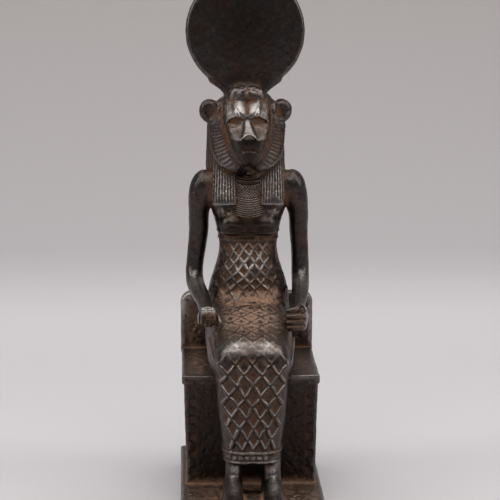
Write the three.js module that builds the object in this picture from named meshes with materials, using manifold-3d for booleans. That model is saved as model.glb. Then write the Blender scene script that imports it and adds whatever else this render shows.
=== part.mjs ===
// Seated lion-headed goddess with a sun disc, cast in bronze as one piece with her throne and plinth.
// Millimetres, +Z up. The origin is the middle of the plinth's underside, and the figure looks along -Y.
import * as THREE from 'three';
import { mergeVertices } from 'three/addons/utils/BufferGeometryUtils.js';
import Module from 'manifold-3d';

const wasm = await Module();
wasm.setup();

// Driving dimensions: plinth
const PLINTH_WIDTH = 73;
const PLINTH_DEPTH = 142;
const PLINTH_HEIGHT = 11;
const PLINTH_CORNER = 1.2;

// Driving dimensions: throne
const THRONE_SETBACK = 68; // from the plinth's front edge to the throne's front
const THRONE_REAR_LEDGE = 0.8; // plinth left showing behind the throne
const SEAT_HEIGHT = 57.5; // from the plinth's top to the seat
const SEAT_INSET = 1; // plinth left showing beside the seat
const FASCIA_HEIGHT = 4.2;
const FASCIA_OVERHANG = 0.9;
const THRONE_TAPER = 1.4; // how far each side leans in from the fascia to the plinth
const BACK_HEIGHT = 31;
const BACK_THICKNESS = 8;
const BACK_INSET = 0.5; // plinth left showing beside the back
const BACK_CORNER_RADIUS = 6;
const CARVING_DEPTH = 0.9;

// Driving dimensions: ladder borders and rows of strokes on the throne
const LADDER_WIDTH = 3.4;
const LADDER_MARGIN = 1.1;
const LADDER_CELL_HEIGHT = 4.4;
const LADDER_PITCH = 9.2;
const STROKE_PITCH = 6.4;
const STROKE_COLUMNS = 2;
const STROKE_INNER_EDGE = 19.4; // from the middle of the throne, just clear of the shins
const STROKE_KINDS = [ // half width, half height, shift to one side
  [1.7, 0.55, 0], [0.55, 1.7, -0.9], [1.3, 0.8, 0.5], [0.8, 1.5, 0.9],
];

// Driving dimensions: figure
const FIGURE_HEIGHT = 205; // from the seat to the top of the disc
const KNEE_OVERHANG = 30; // from the throne's front to the knees
const DISC_RADIUS = 31.2;
const DISC_THICKNESS = 7.4;
const DISC_RIM = 2.2;
const NECK_LAP = 10.4; // how far the neck under the disc reaches up over it

// Driving dimensions: relief
const NET_RELIEF = 0.9;
const NET_FLOOR = 0.5; // the sunk lozenges stand this far off the body under them
const NET_FLOOR_SHARE = 0.6; // width of a sunk lozenge as a share of its cell
const BELLY_COLUMNS = 6;
const BELLY_ROWS = 9;
const DRESS_COLUMNS = 4;
const DRESS_ROWS = 16;
const FLUTE_DEPTH = 0.7;
const LAPPET_FLUTES = 9;
const WIG_FLUTES = 18;
const RUFF_PLEATS = 12;
const COLLAR_RINGS = 6;
const BAND_HIGH = 0.9; // how far the raised lines of belt and hem stand off the body

// The figure's tables are written for this size of figure and throne, and fit() stretches them
const TABLE = {
  height: 205, // of the figure above the seat
  seat: 57.5,
  depth: 65.2,
  overhang: 30,
  axis: 46, // depth of the upright axis of the trunk
  lean: -1.4, // the head and the disc stand this far to one side
  lapCore: 11, // height of the middle of the lap's sections
  shinCore: -12, // depth of the middle of the shins' sections
  belt: [63.2, 67.4], // heights of the raised lines
  hem: [-38.4, -33],
  collar: [78.6, 98.2], // lowest and highest ring
};

// Places that follow from the driving dimensions
const PLINTH_TOP = PLINTH_HEIGHT;
const SEAT_TOP = PLINTH_TOP + SEAT_HEIGHT;
const THRONE_FRONT = -PLINTH_DEPTH / 2 + THRONE_SETBACK;
const THRONE_REAR = PLINTH_DEPTH / 2 - THRONE_REAR_LEDGE;
const SEAT_DEPTH = THRONE_REAR - THRONE_FRONT - BACK_THICKNESS;
const SEAT_WIDTH = PLINTH_WIDTH - 2 * SEAT_INSET;
const BACK_WIDTH = PLINTH_WIDTH - 2 * BACK_INSET;
const BODY_HALF_WIDTH = SEAT_WIDTH / 2 - FASCIA_OVERHANG;
const SUNK = 1.5; // how far a form is sunk into the one that carries it
const EASE = 0.06; // how far the skin may move where needless corners are dropped
const SMALLEST_SHELL = 0.01; // cubic millimetres

const X_AXIS = new THREE.Vector3(1, 0, 0);
const Y_AXIS = new THREE.Vector3(0, 1, 0);
const Z_AXIS = new THREE.Vector3(0, 0, 1);
const vec = (x, y, z) => new THREE.Vector3(x, y, z);

/** Moves a point of the figure's tables (y from the throne's front, z from the seat) to its real place. */
function fit(point) {
  const grow = FIGURE_HEIGHT / TABLE.height;
  const depth = point.y > 0 ? SEAT_DEPTH / TABLE.depth : KNEE_OVERHANG / TABLE.overhang;
  const height = point.z > 0 ? grow : SEAT_HEIGHT / TABLE.seat;
  return vec(point.x * grow, THRONE_FRONT + point.y * depth, SEAT_TOP + point.z * height);
}

/** A closed solid from its corners and triangles, turned so that its faces point out. */
function solid(points, faces) {
  const volume = faces.reduce((sum, [a, b, c]) => sum + points[a].dot(points[b].clone().cross(points[c])), 0);
  const turned = volume < 0 ? faces.map(([a, b, c]) => [a, c, b]) : faces;
  const vertProperties = new Float32Array(points.flatMap((p) => [p.x, p.y, p.z]));
  const triVerts = new Uint32Array(turned.flat());
  return new wasm.Manifold(new wasm.Mesh({ numProp: 3, vertProperties, triVerts }));
}

/** A closed solid from a three.js geometry. */
function solidOf(geometry) {
  const bare = geometry.clone();
  bare.deleteAttribute('normal');
  bare.deleteAttribute('uv');
  const merged = mergeVertices(bare, 1e-4);
  const place = merged.getAttribute('position');
  const points = [];
  for (let i = 0; i < place.count; i += 1) points.push(new THREE.Vector3().fromBufferAttribute(place, i));
  const index = Array.from(merged.index.array);
  const faces = [];
  for (let i = 0; i < index.length; i += 3) {
    const face = index.slice(i, i + 3);
    if (new Set(face).size === 3) faces.push(face);
  }
  return solid(points, faces);
}

/** A closed skin through rings of equally many points, with a flat fan at each end. */
function loft(rings, move = fit) {
  const count = rings[0].length;
  const points = rings.flat();
  const faces = [];
  for (let r = 0; r < rings.length - 1; r += 1) {
    for (let k = 0; k < count; k += 1) {
      const next = (k + 1) % count;
      const [a, b] = [r * count + k, r * count + next];
      faces.push([a, b, b + count], [a, b + count, a + count]);
    }
  }
  const middle = (ring) => ring.reduce((sum, p) => sum.add(p), vec(0, 0, 0)).divideScalar(count);
  const last = (rings.length - 1) * count;
  points.push(middle(rings[0]), middle(rings[rings.length - 1]));
  for (let k = 0; k < count; k += 1) {
    const next = (k + 1) % count;
    faces.push([next, k, points.length - 2], [last + k, last + next, points.length - 1]);
  }
  return solid(points.map(move), faces);
}

/** A smooth curve through rows [t, a, b, ...] with rising t: gives the values at any t. */
function through(rows) {
  const slope = (i, k) => {
    const before = rows[Math.max(i - 1, 0)];
    const after = rows[Math.min(i + 1, rows.length - 1)];
    return (after[k] - before[k]) / (after[0] - before[0]);
  };
  return (t) => {
    let i = 0;
    while (i < rows.length - 2 && t > rows[i + 1][0]) i += 1;
    const span = rows[i + 1][0] - rows[i][0];
    const s = Math.min(Math.max((t - rows[i][0]) / span, 0), 1);
    return rows[i].slice(1).map((value, j) => {
      const k = j + 1;
      const end = rows[i + 1][k];
      const rise = s * s * (3 - 2 * s);
      const start = s * (1 - s) * (1 - s) * span * slope(i, k);
      return value + (end - value) * rise + start - s * s * (1 - s) * span * slope(i + 1, k);
    });
  };
}

/** A ring round a centre: half sizes along u, against v and along v, with a squareness of 2 or more. */
function ring(centre, u, v, across, front, back, count, square = 2, relief = () => 0) {
  return Array.from({ length: count }, (_, k) => {
    const angle = (2 * Math.PI * k) / count;
    const x = Math.sign(Math.cos(angle)) * Math.abs(Math.cos(angle)) ** (2 / square);
    const y = Math.sign(Math.sin(angle)) * Math.abs(Math.sin(angle)) ** (2 / square);
    const out = relief(k);
    const deep = y < 0 ? front : back;
    return centre.clone().addScaledVector(u, x * (across + out)).addScaledVector(v, y * (deep + out));
  });
}

/** An egg shape with its half sizes along x, y and z. */
function egg(centre, rx, ry, rz, around = 12, rows = 7, move = fit) {
  const rings = Array.from({ length: rows }, (_, i) => {
    const angle = -Math.PI / 2 + (Math.PI * (i + 0.6)) / (rows + 0.2);
    const level = vec(centre.x, centre.y, centre.z + rz * Math.sin(angle));
    const share = Math.cos(angle);
    return ring(level, X_AXIS, Y_AXIS, rx * share, ry * share, ry * share, around);
  });
  return loft(rings, move);
}

/** A limb along points with its own half sizes [point, across, deep] at each, square to its path. */
function limb(stations, around, square = 2) {
  return loft(stations.map(([point, across, deep], i) => {
    const before = stations[Math.max(i - 1, 0)][0];
    const after = stations[Math.min(i + 1, stations.length - 1)][0];
    const along = after.clone().sub(before).normalize();
    const side = (Math.abs(along.x) > 0.8 ? Y_AXIS : X_AXIS).clone();
    side.addScaledVector(along, -side.dot(along)).normalize();
    const up = along.clone().cross(side);
    return ring(point, side, up, across, deep, deep, around, square);
  }));
}

/** A block with small corners, between a lower and an upper rectangle [x0, x1, y0, y1, z]. */
function block(low, high, corner = 0) {
  const level = ([x0, x1, y0, y1, z]) => (corner > 0
    ? [[x0 + corner, y0], [x1 - corner, y0], [x1, y0 + corner], [x1, y1 - corner],
      [x1 - corner, y1], [x0 + corner, y1], [x0, y1 - corner], [x0, y0 + corner]]
    : [[x0, y0], [x1, y0], [x1, y1], [x0, y1]]).map(([x, y]) => vec(x, y, z));
  return loft([level(low), level(high)], (point) => point);
}

const join = (solids) => solids.reduce((whole, next) => whole.add(next));
const cut = (body, cuts) => cuts.reduce((left, next) => left.subtract(next), body);
const steps = (count, from, to) => Array.from({ length: count + 1 }, (_, i) => from + ((to - from) * i) / count);

// Form tables of the figure
const torso = through([ // height: half width, depth before and behind the axis
  [-1.5, 20, 18, 19.4], [12, 22, 21.5, 19.4], [26, 22, 21, 18.5], [35.5, 21.3, 19.5, 15.5],
  [41, 20.2, 20, 13.5], [48.5, 17.8, 20.5, 12.5], [55.5, 15.8, 19, 12], [61.5, 15.2, 16.4, 12],
  [68.5, 16.2, 15.5, 12.5], [75, 17.8, 15.8, 13], [80, 19.4, 15.8, 13.5], [86, 22, 14, 13.5],
  [92, 24, 12, 13], [97.5, 23.6, 10, 11.5], [101.5, 19, 8.5, 10], [108, 11, 8, 8.5],
]);
const lap = through([ // depth from the throne's front: half width, top, squareness follows from LAP_SQUARE
  [-29.6, 14.5, 15.5], [-28, 17.2, 19.2], [-24.5, 18.8, 22.8], [-18, 20.4, 25.6], [-8, 21.8, 28.2],
  [10, 22.3, 32], [28, 22.3, 35.8], [44, 21.5, 37],
]);
const LAP_SQUARE = 3;
const shin = through([ // height: half width, front
  [-39, 14.4, -27.8], [-33, 15.1, -28.6], [-25.5, 16, -29.3], [-12, 17.6, -30], [0, 18.2, -30.4],
  [12, 18.2, -30], [19, 17, -27.5],
]);
const SHIN_SQUARE = 2.7;

/** How far a section falls away from its crown at x, for its half width, depth and squareness. */
function fall(x, across, deep, square) {
  return deep * (1 - (1 - Math.min(Math.abs(x / across), 0.999) ** square) ** (1 / square));
}

/** One station of the net's ground along the front of the body: crown point, outward way and section. */
function bellyStation(z) {
  const [across, front] = torso(z);
  return { crown: vec(0, TABLE.axis - front, z), across, deep: front, square: 2 };
}
function lapStation(y) {
  const [across, top] = lap(y);
  return { crown: vec(0, y, top), across, deep: top - TABLE.lapCore, square: LAP_SQUARE };
}
function shinStation(z) {
  const [across, front] = shin(z);
  return { crown: vec(0, front, z), across, deep: TABLE.shinCore - front, square: SHIN_SQUARE };
}

/** A ground that can be asked for its place at any share of its way along the stations. */
function ground(stations) {
  const ways = [0];
  for (let i = 1; i < stations.length; i += 1) {
    ways.push(ways[i - 1] + stations[i].crown.distanceTo(stations[i - 1].crown));
  }
  const rows = stations.map((s, i) => [ways[i], s.crown.y, s.crown.z, s.across, s.deep, s.square]);
  const line = through(rows);
  const length = ways[ways.length - 1];
  return (share, side, width, rise) => {
    const way = share * length;
    const [y, z, across, deep, square] = line(way);
    const [y1, z1] = line(way + 0.5);
    const [y0, z0] = line(way - 0.5);
    const out = vec(0, z1 - z0, y0 - y1).normalize();
    const x = side * width * across;
    const drop = fall(x, across, deep, square);
    const lean = fall(x + 0.1 * Math.sign(x), across, deep, square) - drop;
    const tilt = x === 0 ? 0 : Math.atan2(lean, 0.1) * Math.sign(x);
    const place = vec(x, y, z).addScaledVector(out, -drop);
    return place.addScaledVector(out, rise * Math.cos(tilt)).addScaledVector(X_AXIS, rise * Math.sin(tilt));
  };
}

/** A bead net in relief: raised lines round sunk lozenges, closed through a spine inside the body. */
function net(place, columns, rows, width, spine) {
  const points = [];
  const add = (point) => points.push(point) - 1;
  const crest = (row, column) => {
    const side = (2 * column + (row % 2)) / columns - 1;
    return { row, side };
  };
  const known = new Map();
  const corner = ({ row, side }) => {
    const key = `${row}:${Math.round(side * columns)}`;
    if (!known.has(key)) known.set(key, add(place(row / rows, side, width, NET_FLOOR + NET_RELIEF)));
    return known.get(key);
  };
  const faces = [];
  const cell = (corners) => {
    const row = corners.reduce((sum, c) => sum + c.row, 0) / corners.length;
    const side = corners.reduce((sum, c) => sum + c.side, 0) / corners.length;
    const outer = corners.map(corner);
    const inner = corners.map((c) => {
      const share = row + (c.row - row) * NET_FLOOR_SHARE;
      return add(place(share / rows, side + (c.side - side) * NET_FLOOR_SHARE, width, NET_FLOOR));
    });
    corners.forEach((_, i) => {
      const j = (i + 1) % corners.length;
      faces.push([outer[i], outer[j], inner[j]], [outer[i], inner[j], inner[i]]);
    });
    for (let i = 1; i < inner.length - 1; i += 1) faces.push([inner[0], inner[i], inner[i + 1]]);
  };
  for (let row = 0; row + 2 <= rows; row += 1) {
    const even = row % 2 === 0;
    for (let column = 0; column < columns + (even ? 1 : 0); column += 1) {
      const top = crest(row, column);
      const low = { row: row + 2, side: top.side };
      const left = { row: row + 1, side: top.side - 1 / columns };
      const right = { row: row + 1, side: top.side + 1 / columns };
      if (left.side < -1.001) cell([top, low, right]);
      else if (right.side > 1.001) cell([top, left, low]);
      else cell([top, left, low, right]);
    }
  }
  const ends = [];
  for (let column = 0; column < columns; column += 1) {
    const [a, b] = [crest(0, column), crest(0, column + 1)];
    faces.push([corner(a), corner({ row: 1, side: a.side + 1 / columns }), corner(b)]);
    ends.push([corner(b), corner(a)]);
  }
  const lastEven = rows % 2 === 0;
  const lowest = Array.from({ length: columns + (lastEven ? 1 : 0) }, (_, column) => crest(rows, column));
  for (let i = 0; i < lowest.length - 1; i += 1) {
    const above = corner({ row: rows - 1, side: lowest[i].side + 1 / columns });
    faces.push([corner(lowest[i]), corner(lowest[i + 1]), above]);
    ends.push([corner(lowest[i]), corner(lowest[i + 1])]);
  }
  if (!lastEven) {
    const edges = [[-1, lowest[0]], [1, lowest[lowest.length - 1]]];
    edges.forEach(([side, near]) => {
      const above = corner({ row: rows - 1, side });
      const edge = [above, corner(near)];
      ends.push(side < 0 ? edge : edge.reverse());
    });
  }
  const pairs = Math.floor(rows / 2);
  const spines = steps(pairs, 0, (2 * pairs) / rows).map((share) => add(spine(share)));
  ends.slice(0, columns).forEach(([a, b]) => faces.push([b, a, spines[0]]));
  ends.slice(columns).forEach(([a, b]) => faces.push([b, a, spines[spines.length - 1]]));
  for (let i = 0; i < spines.length - 1; i += 1) {
    [-1, 1].forEach((side) => {
      const [a, b] = [corner({ row: 2 * i, side }), corner({ row: 2 * i + 2, side })];
      const [c, d] = [spines[i], spines[i + 1]];
      faces.push(...(side < 0 ? [[b, a, c], [b, c, d]] : [[a, b, d], [a, d, c]]));
    });
  }
  return solid(points.map(fit), faces);
}

/** The plinth: a low block under the throne and the feet. */
function plinth() {
  const level = (z) => [-PLINTH_WIDTH / 2, PLINTH_WIDTH / 2, -PLINTH_DEPTH / 2, PLINTH_DEPTH / 2, z];
  return block(level(0), level(PLINTH_TOP), PLINTH_CORNER);
}

/** Shallow pockets of a ladder border up one upright edge of the throne. */
function ladder(fromX, toX, fromY, toY) {
  const height = SEAT_HEIGHT - FASCIA_HEIGHT;
  const cells = Math.floor((height - LADDER_MARGIN) / LADDER_PITCH);
  return Array.from({ length: cells }, (_, i) => {
    const low = PLINTH_TOP + LADDER_MARGIN + i * LADDER_PITCH + (LADDER_PITCH - LADDER_CELL_HEIGHT) / 2;
    const level = (z) => [fromX, toX, fromY, toY, z];
    return block(level(low), level(low + LADDER_CELL_HEIGHT));
  });
}

/** Rows of shallow strokes in the front panels beside the legs, which spell nothing. */
function strokes(face) {
  const outer = BODY_HALF_WIDTH - THRONE_TAPER - LADDER_MARGIN * 2 - LADDER_WIDTH;
  const column = (outer - STROKE_INNER_EDGE) / STROKE_COLUMNS;
  const rows = Math.floor((SEAT_HEIGHT - FASCIA_HEIGHT - 2 * STROKE_PITCH) / STROKE_PITCH);
  const marks = [];
  [-1, 1].forEach((side) => {
    for (let place = 0; place < STROKE_COLUMNS; place += 1) {
      for (let row = 0; row < rows; row += 1) {
        const middle = side * (STROKE_INNER_EDGE + column * (place + 0.5));
        const high = PLINTH_TOP + STROKE_PITCH * (row + 1.4);
        const kind = (row * 3 + place * 2 + (side > 0 ? 1 : 0)) % STROKE_KINDS.length;
        const [long, tall, shift] = STROKE_KINDS[kind];
        const level = (z) => [middle + shift - long, middle + shift + long,
          face - CARVING_DEPTH, face + CARVING_DEPTH, z];
        marks.push(block(level(high - tall), level(high + tall)));
      }
    }
  });
  return marks;
}

/** The block throne with its fascia, low back, ladder borders and rows of strokes. */
function throne() {
  const body = THRONE_FRONT + FASCIA_OVERHANG;
  const under = SEAT_TOP - FASCIA_HEIGHT;
  const foot = BODY_HALF_WIDTH - THRONE_TAPER;
  const seat = SEAT_WIDTH / 2;
  const blockBody = block([-foot, foot, body, THRONE_REAR, PLINTH_TOP - SUNK],
    [-BODY_HALF_WIDTH, BODY_HALF_WIDTH, body, THRONE_REAR, under + 0.2], 0.8);
  const fascia = block([-seat, seat, THRONE_FRONT, THRONE_REAR, under],
    [-seat, seat, THRONE_FRONT, THRONE_REAR, SEAT_TOP], 0.6);
  const shape = new THREE.Shape();
  const half = BACK_WIDTH / 2;
  const top = SEAT_TOP + BACK_HEIGHT;
  const round = BACK_CORNER_RADIUS;
  shape.moveTo(-half, SEAT_TOP - SUNK);
  shape.lineTo(half, SEAT_TOP - SUNK);
  shape.lineTo(half, top - round);
  shape.absarc(half - round, top - round, round, 0, Math.PI / 2);
  shape.lineTo(-half + round, top);
  shape.absarc(-half + round, top - round, round, Math.PI / 2, Math.PI);
  const bevel = 0.9;
  const panel = new THREE.ExtrudeGeometry(shape, {
    depth: BACK_THICKNESS - 2 * bevel, bevelThickness: bevel, bevelSize: bevel, bevelOffset: -bevel,
    bevelSegments: 1, curveSegments: 6,
  });
  panel.rotateX(Math.PI / 2);
  panel.translate(0, THRONE_REAR - bevel, 0);
  const past = 4;
  const cells = [];
  [-1, 1].forEach((side) => {
    const outer = foot - LADDER_MARGIN;
    const [a, b] = [side * outer, side * (outer - LADDER_WIDTH)];
    const [x0, x1] = [Math.min(a, b), Math.max(a, b)];
    cells.push(...ladder(x0, x1, body - past, body + CARVING_DEPTH));
    const skin = foot - CARVING_DEPTH / 2;
    const [c, d] = [Math.min(side * skin, side * (skin + past)), Math.max(side * skin, side * (skin + past))];
    const front = body + LADDER_MARGIN * 2;
    const rear = THRONE_REAR - LADDER_MARGIN * 2 - LADDER_WIDTH;
    cells.push(...ladder(c, d, rear, rear + LADDER_WIDTH));
    cells.push(...ladder(c, d, front, front + LADDER_WIDTH));
  });
  const whole = join([blockBody, fascia, solidOf(panel)]);
  return cut(whole, [...cells, ...strokes(body)]);
}

/** Trunk from the hips to the shoulders, with breasts, belt and the rings of the broad collar. */
function trunk() {
  const heights = [-1.5, 18, 33, 41, 48.5, 55.5, 61.5, 68.5, 75, 80, 86, 92, 97.5, 101.5];
  const level = (z, out = 0) => {
    const [across, front, back] = torso(z);
    return ring(vec(0, TABLE.axis, z), X_AXIS, Y_AXIS, across + out, front + out, back + out, 18, 2.15);
  };
  const breasts = [-1, 1].map((side) => egg(vec(side * 8, 35, 73.4), 7.4, 6.4, 6.2, 12, 6));
  const [low, high] = TABLE.belt;
  const belt = loft([[low - 0.6, 0.1], [low, BAND_HIGH], [(low + high) / 2, 0.4], [high, BAND_HIGH],
    [high + 0.6, 0.1]].map(([z, out]) => level(z, out)));
  const ahead = 6;
  const collar = steps(2 * COLLAR_RINGS, ...TABLE.collar).map((z, i) => {
    const out = i % 2 === 0 ? 0.5 : 1.5;
    const across = 17.2 + out - i * 0.25;
    const deep = torso(z)[1] - ahead + out + 1.2;
    return ring(vec(0, TABLE.axis - ahead, z), X_AXIS, Y_AXIS, across, deep, 2, 14);
  });
  return join([loft(heights.map((z) => level(z))), ...breasts, belt, loft(collar)]);
}

/** The lap and the column of the shins inside the dress, with its hem. */
function dress() {
  const depths = [-29.6, -28, -24.5, -18, -8, 10, 28, 44];
  const thighs = loft(depths.map((y) => {
    const [across, top] = lap(y);
    const low = y < -8 ? 8 : TABLE.lapCore + SUNK;
    return ring(vec(0, y, TABLE.lapCore), X_AXIS, Z_AXIS, across, low, top - TABLE.lapCore, 18, LAP_SQUARE);
  }));
  const column = (z, out = 0) => {
    const [across, front] = shin(z);
    const middle = vec(0, TABLE.shinCore, z);
    const back = -TABLE.shinCore + SUNK + FASCIA_OVERHANG;
    return ring(middle, X_AXIS, Y_AXIS, across + out, TABLE.shinCore - front + out, back, 18, SHIN_SQUARE);
  };
  const shins = loft([-39, -33, -25.5, -12, 0, 12, 19].map((z) => column(z)));
  const [low, high] = TABLE.hem;
  const hem = loft([[low - 0.8, 0.5], [low, BAND_HIGH], [low + 1, 0.5], [high - 0.8, 0.5], [high, BAND_HIGH],
    [high + 0.6, 0.2]].map(([z, out]) => column(z, out)));
  return join([thighs, shins, hem]);
}

/** The bead net over belly, lap and shins. */
function beadNet() {
  const belly = [61, 55.5, 48.5, 42.5, 37.5].map(bellyStation);
  const front = [26, 18, 9, 0, -8, -14, -19].map(lapStation);
  const shins = [11, 4, -4, -12, -20, -26, -31.5].map(shinStation);
  const knee = { crown: vec(0, -26.6, 20.9), across: 18.6, deep: 12, square: 2.9 };
  const bellyGround = ground(belly);
  const dressGround = ground([...front, knee, ...shins]);
  const bellySpine = (share) => bellyGround(share, 0, 1, -8);
  const dressSpine = (share) => dressGround(share, 0, 1, -7);
  return join([
    net(bellyGround, BELLY_COLUMNS, BELLY_ROWS, 0.93, bellySpine),
    net(dressGround, DRESS_COLUMNS, DRESS_ROWS, 0.88, dressSpine),
  ]);
}

/** Both arms down to the wrist. */
function arms() {
  const right = limb([
    [vec(23.4, 46, 95), 5.4, 6], [vec(24.8, 46.3, 89), 6.4, 7.4], [vec(26.8, 47.5, 78), 5.3, 6.2],
    [vec(27.1, 48.5, 68), 4.9, 5.6], [vec(27.8, 48.8, 56), 4.6, 5.2], [vec(28, 48, 46), 4.6, 5.4],
    [vec(27.8, 43, 40.5), 4.6, 5.2], [vec(27, 33, 36.5), 4.3, 4.6], [vec(25.8, 23, 33.8), 3.8, 4],
    [vec(24.4, 10, 30.6), 3.5, 3.6],
  ], 10);
  const left = limb([
    [vec(-23.4, 46, 95), 5.4, 6], [vec(-24.8, 46.3, 89), 6.4, 7.4], [vec(-26.1, 47.5, 78), 5.4, 6.2],
    [vec(-26.2, 48.5, 68), 5.1, 5.6], [vec(-27.6, 48.8, 56), 4.7, 5.2], [vec(-28.6, 48, 46), 4.6, 5.4],
    [vec(-28, 43, 40.5), 4.6, 5.2], [vec(-26, 33, 37.5), 4.4, 4.6], [vec(-24, 23, 35), 3.9, 4],
    [vec(-22.5, 10, 31.5), 3.5, 3.6],
  ], 10);
  const shoulders = [-1, 1].map((side) => egg(vec(side * 23, 46, 92.6), 7.2, 7.6, 7.4, 10, 5));
  return join([right, left, ...shoulders]);
}

/** The fist with its fingers side by side over the knuckles, resting on the thigh. */
function leftFist() {
  const palm = limb([
    [vec(-22.4, 15, 31), 3.6, 4], [vec(-22.4, 9, 30), 4.3, 4.6], [vec(-22.4, 3.4, 28.6), 4, 4.2],
  ], 10, 2.6);
  const fingers = steps(3, -25.4, -19.4).map((x) => limb([
    [vec(x, 6.5, 34.4), 0.9, 1.2], [vec(x, 2.2, 32), 0.95, 1.4],
    [vec(x, 1.4, 27), 0.95, 1.3], [vec(x, 3.6, 24.2), 0.9, 1.2],
  ], 6));
  const thumb = limb([
    [vec(-18.2, 12, 30), 1.6, 1.6], [vec(-17.4, 6.5, 27.4), 1.5, 1.5], [vec(-18, 2.6, 24.8), 1.2, 1.2],
  ], 6);
  return join([palm, ...fingers, thumb]);
}

/** The fist held on edge, with its fingers one above another and the thumb on top. */
function rightFist() {
  const palm = limb([
    [vec(25, 15, 31), 3.4, 4], [vec(24.2, 10, 28.4), 4.9, 5.8], [vec(24, 4, 27.6), 5, 5.8],
  ], 10, 2.6);
  const fingers = steps(3, 22.9, 32).map((z) => limb([
    [vec(28.4, 6.6, z), 1.4, 1.4], [vec(26.8, 2.4, z), 1.42, 1.4],
    [vec(22, 1.8, z), 1.42, 1.4], [vec(19.6, 4.4, z - 0.2), 1.4, 1.3],
  ], 6));
  const thumb = limb([
    [vec(22, 12, 33.4), 1.7, 1.6], [vec(22.4, 6.4, 34.6), 1.7, 1.5], [vec(25.2, 2.2, 34.2), 1.4, 1.3],
  ], 6);
  return join([palm, ...fingers, thumb]);
}

/** Ankles and feet below the hem, with toes, and the low web of metal left between the feet. */
function feet() {
  const ground = -TABLE.seat;
  const soles = [-1, 1].flatMap((side) => {
    const middle = side * 10.2;
    const shank = [[-38, 3.7, 5], [-45, 3.7, 5], [-50, 4.4, 6.4], [-55, 5, 7.6]];
    const ankle = loft(shank.map(([z, across, deep]) => (
      ring(vec(side * 9.9, -19.5, z), X_AXIS, Y_AXIS, across, deep, deep * 1.15, 10)
    )));
    const rows = [[-10, 3.2, 4], [-14, 4.6, 8], [-22, 5, 11.6], [-31, 5.3, 9.6], [-42, 5.8, 6.2], [-55, 6, 4]];
    const foot = loft(rows.map(([y, across, tall]) => (
      ring(vec(middle, y, ground), X_AXIS, Z_AXIS, across, SUNK, tall, 10, 2.3)
    )));
    const toes = steps(4, -4.6, 4.6).map((shift, i) => {
      const tip = -60.5 + i * 0.9;
      const x = middle + side * shift;
      const wide = i === 0 ? 1.4 : 1.05;
      return limb([[vec(x, -50, ground + 3.1), wide, 1.8], [vec(x, tip + 3, ground + 2.1), wide, 1.7],
        [vec(x, tip, ground + 1.3), wide * 0.7, 1]], 6);
    });
    return [ankle, foot, ...toes];
  });
  const web = loft([[-23, 1.6], [-27, 3], [-50, 3]].map(([y, tall]) => (
    ring(vec(0, y, ground), X_AXIS, Z_AXIS, 6, SUNK, tall, 8, 3)
  )));
  return join([...soles, web]);
}

/** The striped wig round the head and down the back, and its two lappets over the chest. */
function wig() {
  const flute = (k) => (k % 2 === 0 ? FLUTE_DEPTH / 2 : -FLUTE_DEPTH / 2);
  const rows = [ // height, half width, depth before and behind the axis
    [84, 16, 4, 17], [92, 18.5, 4, 17.6], [99.5, 20.6, 8, 17.8], [108, 20.6, 11, 17.8],
    [118, 20.2, 13.6, 18], [127, 19.7, 16.4, 17.4], [133, 17.8, 17, 15.6], [137.4, 14.8, 15.4, 13],
    [140.4, 11.5, 12, 10],
  ];
  const nape = rows[0][0];
  const cap = loft(rows.map(([z, across, front, back]) => {
    const lean = TABLE.lean * Math.min(1, (z - nape) / 20);
    const depth = z > 130 ? () => 0 : flute;
    return ring(vec(lean, TABLE.axis + 1, z), X_AXIS, Y_AXIS, across, front, back, 2 * WIG_FLUTES, 2.1, depth);
  }));
  const lappets = [-1, 1].map((side) => {
    const levels = [[83.4, 12.6, 29.6], [85.2, 13, 28.4], [94, 12.6, 30.6], [103, 12, 33.4], [112, 11, 36]];
    return loft(levels.map(([z, width, front]) => {
      const middle = side * 12.4 + (side < 0 ? -0.1 : -0.3);
      const crown = Array.from({ length: 2 * LAPPET_FLUTES + 1 }, (_, k) => {
        const share = k / LAPPET_FLUTES - 1;
        const out = k % 2 === 0 ? 0 : FLUTE_DEPTH;
        return vec(middle + (share * width) / 2, front + 2.2 * share * share - out, z);
      });
      return [...crown, vec(middle + width / 2, 42, z), vec(middle - width / 2, 42, z)];
    }));
  });
  return join([cap, ...lappets]);
}

/** The pleated mane at each side of the face, with the smooth band that frames the face. */
function mane() {
  const parts = [];
  [-1, 1].forEach((side) => {
    const inner = through([ // share of the way from the brow to the chin: place
      [0, 12.6, 29.6, 130], [0.4, 12.4, 28.8, 121], [0.75, 9.6, 27.4, 113], [1, 6.6, 26.4, 108.4],
    ]);
    const outer = through([
      [0, 18.4, 35.6, 129], [0.4, 19, 34.8, 119.6], [0.75, 17.2, 33.4, 108.4], [1, 12.2, 31.6, 103],
    ]);
    const place = (x, y, z) => vec(side * x + TABLE.lean / 2, y, z);
    parts.push(loft(steps(2 * RUFF_PLEATS, 0, 1).map((t, i) => {
      const out = i % 2 === 0 ? 0 : 1.2;
      const [ix, iy, iz] = inner(t);
      const [ox, oy, oz] = outer(t);
      return [place(ix + 0.9, iy - out * 0.6, iz), place(ox, oy - out, oz), place(ox - 2.4, oy + 7, oz),
        place(ix - 2.1, iy + 9, iz)];
    })));
    parts.push(limb([[0, 0], [0.2, 0.9], [0.4, 1], [0.6, 1], [0.8, 1], [1, 0.8]].map(([t, wide]) => {
      const [x, y, z] = inner(t);
      return [place(x - 0.2, y - 0.6, z), 0.5 + wide * 0.6, 0.5 + wide * 0.5];
    }), 6));
  });
  return join(parts);
}

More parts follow.
